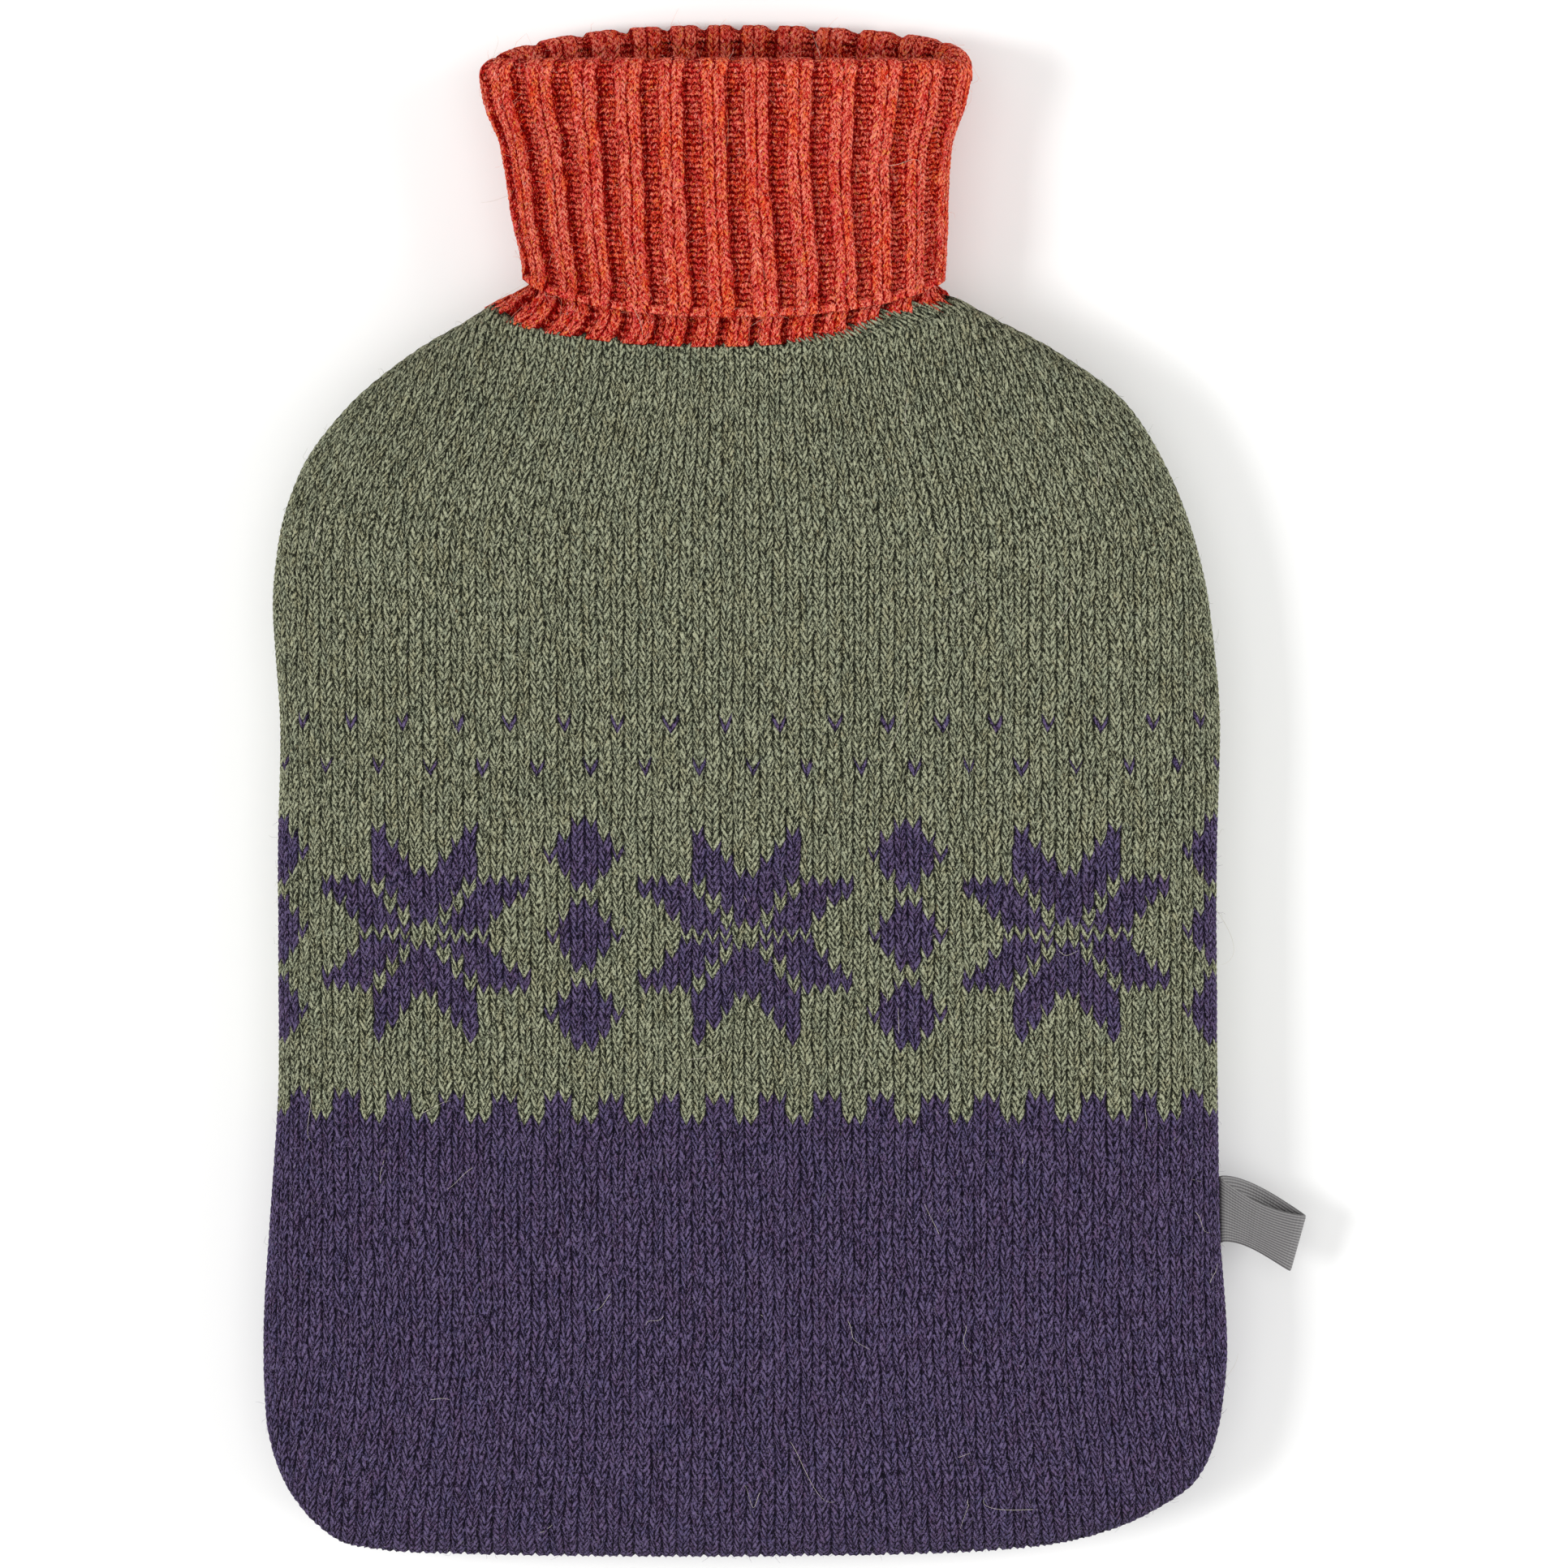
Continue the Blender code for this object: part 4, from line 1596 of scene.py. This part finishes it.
    def _knit_front(self, is_turn_down: bool) -> tuple[Array, Array, Array]:
        """Knits the face that shows, cut straight at the cloth's real end.

        Args:
            is_turn_down: True for the rim and the turn-down, False for the inner tube.

        Returns:
            Places, the lattice of their numbers, and the wale and the row of each face's corners.
        """
        rng = np.random.default_rng(31 if is_turn_down else 37)
        total = self.front.lengths[-1] / self.row_mm
        first, last = (self.split, math.ceil(total) + 1) if is_turn_down else (0, self.split)
        bottom = first if is_turn_down else -math.ceil(self.stitch.climb)
        low, high = (-FAR, total * self.row_mm) if is_turn_down else (0.0, FAR)
        row = bottom + np.arange((last - bottom) * self.stitch.rows + 1) / self.stitch.rows
        wales, rows = np.meshgrid(self.wale, row)
        shown = self._drawn(wales, rows * self.row_mm)
        tidy = 1.0 * (rows > first + 2) * (rows < last - 3)
        wander = smooth_noise(rng, wales.shape, 8.0) * 0.12
        wander[:, :8] *= np.linspace(0, 1, 8)
        wander[:, -8:] *= np.linspace(1, 0, 8)
        across = wales + wander * tidy
        uneven = smooth_noise(rng, wales.shape, 6.0) * 0.15 * tidy
        along = (rows + self._climbed(shown) + uneven) * self.row_mm
        first_inside = np.argmin(along < low, axis=0)
        last_inside = len(row) - 1 - np.argmin((along > high)[::-1], axis=0)
        along = np.clip(along, low, high)
        lift = np.maximum(self._relief(shown, rows, rng), self.deepest)
        lift = self._pulled_flat(lift, across, along, high - along)
        from_end = high - along if is_turn_down else along
        lift = lift - self.end_drop * (1 - smooth_step(0.0, self.end_zone, from_end)) ** 2
        if not is_turn_down:
            lift = np.maximum(lift, self.tube_deepest)
        lowest, highest = np.maximum(first_inside - 1, 0), np.minimum(last_inside + 1, len(row) - 1)
        used = np.clip(np.arange(len(row))[:, None], lowest, highest)
        numbers = np.arange(wales.size).reshape(wales.shape)[used, np.arange(len(self.wale))]
        faces = lattice_faces(numbers, is_ring=True)
        stitches = self._stitches(faces, shown, rows)
        middle = stitches[..., 0].mean(axis=-1, keepdims=True)
        in_rib = stitches[..., 0] - np.floor(middle / 4) * 4
        is_hem = (high - along.ravel()[faces].mean(axis=-1, keepdims=True)) < self.hem_band
        stitches[..., 0] -= np.where(is_hem, in_rib / 2, 0.0)
        return self._place(self.front, across.ravel(), along.ravel(), lift.ravel()), numbers, stitches

    def _knit_back(self, is_turn_down: bool) -> tuple[Array, Array, Array]:
        """Knits the cloth's other face, finely where it shows low down in the open collar.

        Args:
            is_turn_down: True for the rim and the turn-down, False for the inner tube.

        Returns:
            Places, the lattice of their numbers, and the wale and the row of each face's corners.
        """
        rng = np.random.default_rng(41)
        end = self.back.lengths[-1]
        split = float(np.interp(self.split_length, self.front.lengths, self.back.lengths))
        split = min(split, float(self.back.lengths[self.fold_start]) - 1.0)
        along = np.linspace(split, end, 22)
        if not is_turn_down:
            fine = np.arange(10 * self.stitch.rows + 1) / self.stitch.rows * self.row_mm
            along = np.concatenate([fine, np.linspace(fine[-1], split, 16)[1:]])
        wales, rows = np.meshgrid(self.wale, along / self.row_mm)
        along = rows * self.row_mm
        shown = self._drawn(wales + 2.0, np.zeros_like(wales))
        knit_rows = rows - self._climbed(shown)
        lift = self._relief(shown, knit_rows, rng)
        lift = lift * (0.3 if is_turn_down else 1 - 0.7 * smooth_step(8.0, 14.0, along))
        lift = lift * smooth_step(-0.5, 2.5, end - along) - 0.1
        turn = np.mod(wales + self.phase, self.wales) / self.wales
        under = np.maximum(self._shift(turn * (self.samples - 1)), 0.0)
        covered = (1 - smooth_step(under, under + 1.6, along)) * smooth_step(0.0, 0.6, under)
        lift = lift - (lift + 0.4) * covered
        numbers = np.arange(wales.size).reshape(wales.shape)
        stitches = self._stitches(lattice_faces(numbers, is_ring=True), shown, knit_rows)
        return self._place(self.back, wales.ravel(), along.ravel(), lift.ravel()), numbers, stitches

    def build(self, name: str, is_turn_down: bool, material: Material) -> Object:
        """Builds the inner tube or the turn-down as a closed ring of cloth.

        Args:
            name: name of the piece.
            is_turn_down: True for the rim and the turn-down, False for the inner tube.
            material: the rib knit.

        Returns:
            The piece.
        """
        places, numbers, stitches = self._knit_front(is_turn_down)
        back_places, back_numbers, back_stitches = self._knit_back(is_turn_down)
        back_numbers = back_numbers + len(places)
        faces = [
            lattice_faces(numbers, is_ring=True).reshape(-1, 4),
            lattice_faces(back_numbers, is_ring=True).reshape(-1, 4)[:, ::-1],
        ]
        corners = [stitches.reshape(-1, 4, 2), back_stitches.reshape(-1, 4, 2)[:, ::-1]]
        next_wale = self.wale + 1 / self.stitch.columns
        for end, way in ((0, 1), (-1, -1)):
            one, other = numbers[end], back_numbers[end]
            joined = np.stack([one, other, np.roll(other, -1), np.roll(one, -1)], axis=-1)
            wale = np.stack([self.wale, self.wale, next_wale, next_wale], axis=-1)
            faces.append(joined[:, ::way])
            corners.append(np.stack([wale, np.zeros_like(wale)], axis=-1)[:, ::way])
        points, faces = np.concatenate([places, back_places]), np.concatenate(faces)
        shell = Shell(points, faces, np.concatenate(corners), np.zeros(len(faces)))
        return shell.to_object(name, [material])


@dataclass
class SideLabel:
    """A bare tape, folded in half and sewn into the right-hand seam."""

    # The tape's corners in millimetres: two at the seam and two at the fold
    root_top: tuple[float, float, float] = (102.75, -84.0, 17.0)
    root_bottom: tuple[float, float, float] = (103.0, -98.3, 17.0)
    tip_top: tuple[float, float, float] = (121.6, -92.8, 13.6)
    tip_bottom: tuple[float, float, float] = (118.4, -105.2, 12.4)
    thickness: float = 0.7
    clearance: float = -0.1
    # Half the gap between the two layers at the seam and beyond it, and the whole loop's bend
    root_half_gap: float = 0.55
    half_gap: float = 2.2
    arch: float = -2.0
    # How far the upper layer's top edge hangs below a straight line, and the other edges rise
    sag: float = 1.7
    rise: float = 1.5
    rib_mm: float = 0.9
    rib_height: float = 0.03
    length_steps: int = 40
    width_steps: int = 26

    def _path(self) -> list[tuple[float, float]]:
        """Goes along the tape's middle line, out on the upper layer and back on the lower one.

        Returns:
            For each step, the part of the way out and the height over the middle.
        """
        upper = []
        for step in range(self.length_steps + 1):
            along = 1 - (1 - step / self.length_steps) ** 1.8
            opened = math.sin(math.pi * min(1.0, along * 0.72 + 0.06)) if step else 0.0
            half_gap = self.root_half_gap + (self.half_gap - self.root_half_gap) * opened
            upper.append((along, half_gap * math.sqrt(max(0.0, 1 - along**14))))
        return [*upper, *[(along, -half_gap) for along, half_gap in reversed(upper[:-1])]]

    def build(self, name: str, material: Material) -> Object:
        """Builds the folded tape, and notes its flat size.

        Args:
            name: name of the piece.
            material: the woven tape.

        Returns:
            The piece.
        """
        corners = (self.root_top, self.root_bottom, self.tip_top, self.tip_bottom)
        root_top, root_bottom, tip_top, tip_bottom = map(np.array, corners)
        across = np.linspace(0, 1, self.width_steps + 1)[None, :, None]
        along, gaps = np.array(self._path()).T[..., None]
        root = root_top + (root_bottom - root_top) * across + np.array([self.clearance, 0, 0])
        tip = tip_top + (tip_bottom - tip_top) * across
        middle = root + (tip - root) * along[..., None]
        middle[..., 2] += gaps + self.arch * np.sin(math.pi * along)
        is_upper = smooth_step(-0.3, 0.3, gaps)
        bent_up = self.rise * np.sin(math.pi * along**0.7)
        bent_down = self.sag * np.sin(math.pi * along)
        from_top = across[..., 0] ** 1.3
        middle[..., 1] += bent_up * (from_top + (1 - from_top) * (1 - is_upper))
        middle[..., 1] -= bent_down * (1 - from_top) * is_upper
        line = middle[:, self.width_steps // 2]
        lengths = running_total(np.linalg.norm(np.diff(line, axis=0), axis=1))
        width = float(np.linalg.norm(root_bottom - root_top))
        stitch = np.stack(np.meshgrid(lengths, across.ravel() * width, indexing="ij"), axis=-1)
        ribs = self.rib_height * np.sin(stitch[..., 0] / self.rib_mm * 2 * math.pi)
        edge = np.minimum(stitch[..., 1], width - stitch[..., 1])
        half = self.thickness / 2 * (0.55 + 0.45 * smooth_step(0.0, 0.5, edge))
        normals = face_normals(middle)
        layers = [middle - normals * (half + ribs)[..., None], middle + normals * (half - ribs)[..., None]]
        numbers = np.arange(half.size).reshape(half.shape)
        quads = lattice_faces(numbers).reshape(-1, 4)
        rim = np.concatenate([numbers[0, :], numbers[1:, -1], numbers[-1, -2::-1], numbers[-2:0:-1, 0]])
        sides = np.stack([np.roll(rim, -1), np.roll(rim, -1) + half.size, rim + half.size, rim], axis=-1)
        faces = np.concatenate([quads[:, ::-1], quads + half.size, sides])
        uv = np.concatenate([stitch.reshape(-1, 2)] * 2)
        self.flat = (width * MM, float(lengths[-1]) * MM)
        shell = Shell(np.reshape(layers, (-1, 3)) * MM, faces, uv[faces], np.zeros(len(faces)))
        return shell.to_object(name, [material])


@dataclass
class LooseFibres:
    """Single fibres that stand out of the knit, as thin three-sided strands.

    Attributes:
        name: name of the piece.
        count: how many.
        length: shortest and longest, in millimetres.
        radius: half their thickness; a real fibre's is 0.012 mm, too thin to show, so these are
            drawn as coarse as a small tuft.
        curl: how far they bend, as a share of their length.
        upright: how far they lean out of the cloth, from 0 to 1.
        steps: straight parts in each.
        seed: of their places.
    """

    name: str
    count: int
    length: tuple[float, float]
    radius: float
    curl: float
    upright: float
    steps: int
    seed: int

    def build(self, cloths: list[Object], finish: int | None, material: Material) -> Object:
        """Grows the fibres out of pieces of knit.

        Args:
            cloths: the pieces that they grow from.
            finish: number of the material that they grow on, or None for any.
            material: the fibres' own.

        Returns:
            The piece.
        """
        rng = np.random.default_rng(self.seed)
        roots, outs = self._roots(cloths, finish, rng)
        sides = rng.normal(size=(self.count, 3))
        sides -= outs * (sides * outs).sum(axis=1, keepdims=True)
        sides /= np.linalg.norm(sides, axis=1, keepdims=True)
        others = np.cross(outs, sides)
        lengths = rng.uniform(*self.length, self.count)[:, None] * MM
        lean = rng.uniform(0.4, 1.6, (self.count, 1)) * self.upright
        curl = rng.normal(0, self.curl, (self.count, 2))
        turns = rng.uniform(0.5, 1.6, (self.count, 1))
        centres = []
        for step in range(self.steps + 1):
            part = step / self.steps
            out = lean * part * (1 - 0.45 * part)
            aside = part + curl[:, :1] * (1 - np.cos(turns * part * 3.0)) * 0.5
            across = curl[:, 1:] * np.sin(turns * part * 3.0) * part
            centres.append(roots + lengths * (outs * out + sides * aside + others * across))
        lines = np.stack(centres, axis=1)
        lines[..., 2] = np.maximum(lines[..., 2], self.radius * MM)
        ways = unit(np.gradient(lines, axis=1))
        flat = unit(np.cross(ways, outs[:, None, :] + 0.01))
        high = np.cross(ways, flat)
        taper = np.linspace(1.0, 0.45, self.steps + 1)[None, :, None] * self.radius * MM
        angles = [2 * math.pi * corner / 3 for corner in range(3)]
        rings = [lines + (flat * math.cos(angle) + high * math.sin(angle)) * taper for angle in angles]
        numbers = np.arange(lines.size).reshape(self.count, self.steps + 1, 3)
        strands = lattice_faces(numbers, is_ring=True).reshape(-1, 4)
        faces = np.concatenate([strands, numbers[:, 0][:, [2, 1, 0, 0]], numbers[:, -1][:, [0, 1, 2, 2]]])
        points = np.stack(rings, axis=2).reshape(-1, 3)
        shell = Shell(points, faces, np.zeros((*faces.shape, 2)), np.zeros(len(faces)))
        return shell.to_object(self.name, [material])

    def _roots(
        self, cloths: list[Object], finish: int | None, rng: np.random.Generator
    ) -> tuple[Array, Array]:
        """Picks where the fibres start, evenly over the knitted faces.

        Args:
            cloths: the pieces of knit.
            finish: number of the material to keep to, or None.
            rng: seeded source.

        Returns:
            Places and the cloth's normals there.
        """
        finest = 1.6e-6  # square metres; the plain faces inside are larger
        rows = []
        for cloth in cloths:
            faces = cloth.data.polygons
            centres, normals = np.zeros(len(faces) * 3), np.zeros(len(faces) * 3)
            areas, finishes = np.zeros(len(faces)), np.zeros(len(faces), dtype=np.int32)
            faces.foreach_get("center", centres)
            faces.foreach_get("normal", normals)
            faces.foreach_get("area", areas)
            faces.foreach_get("material_index", finishes)
            picked = (areas < finest) & ((finish is None) | (finishes == finish))
            rows.append(np.column_stack([centres.reshape(-1, 3), normals.reshape(-1, 3), areas])[picked])
        rows = np.concatenate(rows)
        picked = rng.choice(len(rows), self.count, p=rows[:, 6] / rows[:, 6].sum())
        return rows[picked, :3], rows[picked, 3:6]


@dataclass
class Studio:
    """Pale paper floor, soft lights and the camera above the cover's face."""

    # Width of the picture at the side seams, its middle there and the camera's distance from it, in
    # millimetres, and how the camera tilts towards the collar, in degrees
    frame_mm: float = 339.0
    target: tuple[float, float, float] = (8.1, 1.6, 17.0)
    distance: float = 1250.0
    tilt: float = 4.0
    sensor_mm: float = 36.0
    floor_colour: str = "#FEFEFD"
    # Soft square lights that look at the cover: place and side in metres, and watts
    lights: tuple[tuple[str, tuple[float, float, float], float, float], ...] = (
        ("key_softbox", (-1.1, -0.05, 1.2), 0.6, 15.5),
        ("fill_softbox", (1.45, 0.0, 0.8), 1.4, 18.5),
        ("top_softbox", (0.0, 0.0, 2.0), 1.6, 10.5),
    )
    room_light: float = 0.38

    def floor(self) -> None:
        """Builds the floor."""
        mesh = bpy.data.meshes.new("paper_floor")
        builder = bmesh.new()
        bmesh.ops.create_grid(builder, x_segments=8, y_segments=8, size=3.0)
        builder.to_mesh(mesh)
        builder.free()
        colour = linear_colour(self.floor_colour)
        paper = {"Base Color": colour, "Roughness": 0.95, "Specular IOR Level": 0.1}
        mesh.materials.append(make_material("matt_white_paper", lambda add: paper))
        floor = put_in_scene("paper_floor", mesh)
        floor.location = (0.0, 0.0, -0.0006)

    def camera(self) -> None:
        """Places the camera above the face, tilted a little towards the collar."""
        data = bpy.data.cameras.new("camera")
        data.sensor_fit = "HORIZONTAL"
        data.sensor_width = self.sensor_mm
        data.lens = self.sensor_mm * self.distance / self.frame_mm
        data.clip_start, data.clip_end = 0.05, 20.0
        camera = put_in_scene("camera", data)
        tilt = math.radians(self.tilt)
        way = Vector((0.0, math.sin(tilt), math.cos(tilt)))
        camera.location = (Vector(self.target) + way * self.distance) * MM
        camera.rotation_euler = (-tilt, 0.0, 0.0)
        bpy.context.scene.camera = camera

    def build(self) -> None:
        """Sets up the floor, the lights, the surroundings and the camera."""
        self.floor()
        for name, place, size, power in self.lights:
            data = bpy.data.lights.new(name, "AREA")
            data.shape, data.size, data.energy = "SQUARE", size, power
            lamp = put_in_scene(name, data)
            lamp.location = place
            way = Vector((0, 0, 0.02)) - Vector(place)
            lamp.rotation_euler = way.to_track_quat("-Z", "Y").to_euler()
        world = bpy.data.worlds.new("white_room")
        world.use_nodes = True
        background = world.node_tree.nodes["Background"]
        background.inputs["Color"].default_value = (1.0, 1.0, 1.0, 1.0)
        background.inputs["Strength"].default_value = self.room_light
        bpy.context.scene.world = world
        bpy.context.scene.view_settings.view_transform = "Standard"
        self.camera()


def hold(piece: Object, node: str | None) -> None:
    """Puts a piece on the body, for a node of the solids, and logs it.

    Args:
        piece: the piece.
        node: name of the node that it stands for, or None.
    """
    if node is not None:
        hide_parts(node)
    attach(piece, "root")
    triangles = sum(len(polygon.vertices) - 2 for polygon in piece.data.polygons)
    LOG.info("%s: %d triangles", piece.name, triangles)


def knit_panels() -> list[Object]:
    """Builds the front and the back, each in three pieces that meet stitch to stitch.

    Returns:
        The pieces.
    """
    knits = [MOSS.material(), PLUM.material()]
    border_rows = 61
    pieces = []
    for side, node, stitch, border in (
        (Side.FRONT, "front_panel", StitchShape(), StarBorder()),
        (Side.BACK, "back_panel", StitchShape(rows=2), None),
    ):
        panel = Panel(side, stitch, border)
        rows = (0, panel.band_rows, panel.band_rows + border_rows, panel.band_rows + panel.field_rows)
        for number, part in enumerate(("band", "border", "yoke")):
            piece = panel.build(f"{node}_{part}", rows[number], rows[number + 1], knits)
            hold(piece, node)
            pieces.append(piece)
    return pieces


# Flat lengths of the collar's cloth in metres, along each piece.
TUBE_LENGTH = 0.05
TURN_DOWN_LENGTH = 0.056


def knit_collar() -> list[Object]:
    """Builds the collar's tube and its turn-down.

    Returns:
        The two pieces.
    """
    collar = RibCollar()
    pieces = []
    # The inner tube takes the copy of the rib with painted shade; the turn-down takes the plain rib.
    for part, is_turn_down, finish, length in (
        ("tube", False, RUSSET_PAINTED_SHADE, TUBE_LENGTH),
        ("turn_down", True, RUSSET, TURN_DOWN_LENGTH),
    ):
        piece = collar.build(f"rib_collar_{part}", is_turn_down, finish.material())
        hold(piece, "rib_collar")
        pieces.append(piece)
    return pieces


def main() -> None:
    """Builds the cover and the studio."""
    logging.basicConfig(level=logging.INFO, format="%(name)s: %(message)s")
    panels, collars = knit_panels(), knit_collar()
    label = SideLabel()
    piece = label.build("side_label_tape", WovenTape().material())
    hold(piece, "side_label")
    moss = LooseFibres(
        "moss_fibres", count=2600, length=(0.8, 2.2), radius=0.035,
        curl=0.5, upright=0.55, steps=3, seed=51,
    )
    plum = replace(moss, name="plum_fibres", count=2200, seed=52)
    russet = LooseFibres(
        "russet_fibres", count=2600, length=(0.9, 3.0), radius=0.032,
        curl=0.8, upright=0.5, steps=3, seed=53,
    )
    stray = LooseFibres(
        "stray_fibres", count=150, length=(4.0, 11.0), radius=0.045,
        curl=0.45, upright=0.12, steps=12, seed=54,
    )
    for fibres, cloths, finish, wool, slot in (
        (moss, panels, 0, MOSS_FIBRE, "panel_knit"),
        (plum, panels, 1, PLUM_FIBRE, "panel_knit"),
        (russet, collars, None, RUSSET_FIBRE, "rib_knit"),
        (stray, panels + collars, None, UNDYED_FIBRE, "panel_knit"),
    ):
        hold(fibres.build(cloths, finish, wool.material()), None)
    Studio().build()


if __name__ == "__main__":
    main()
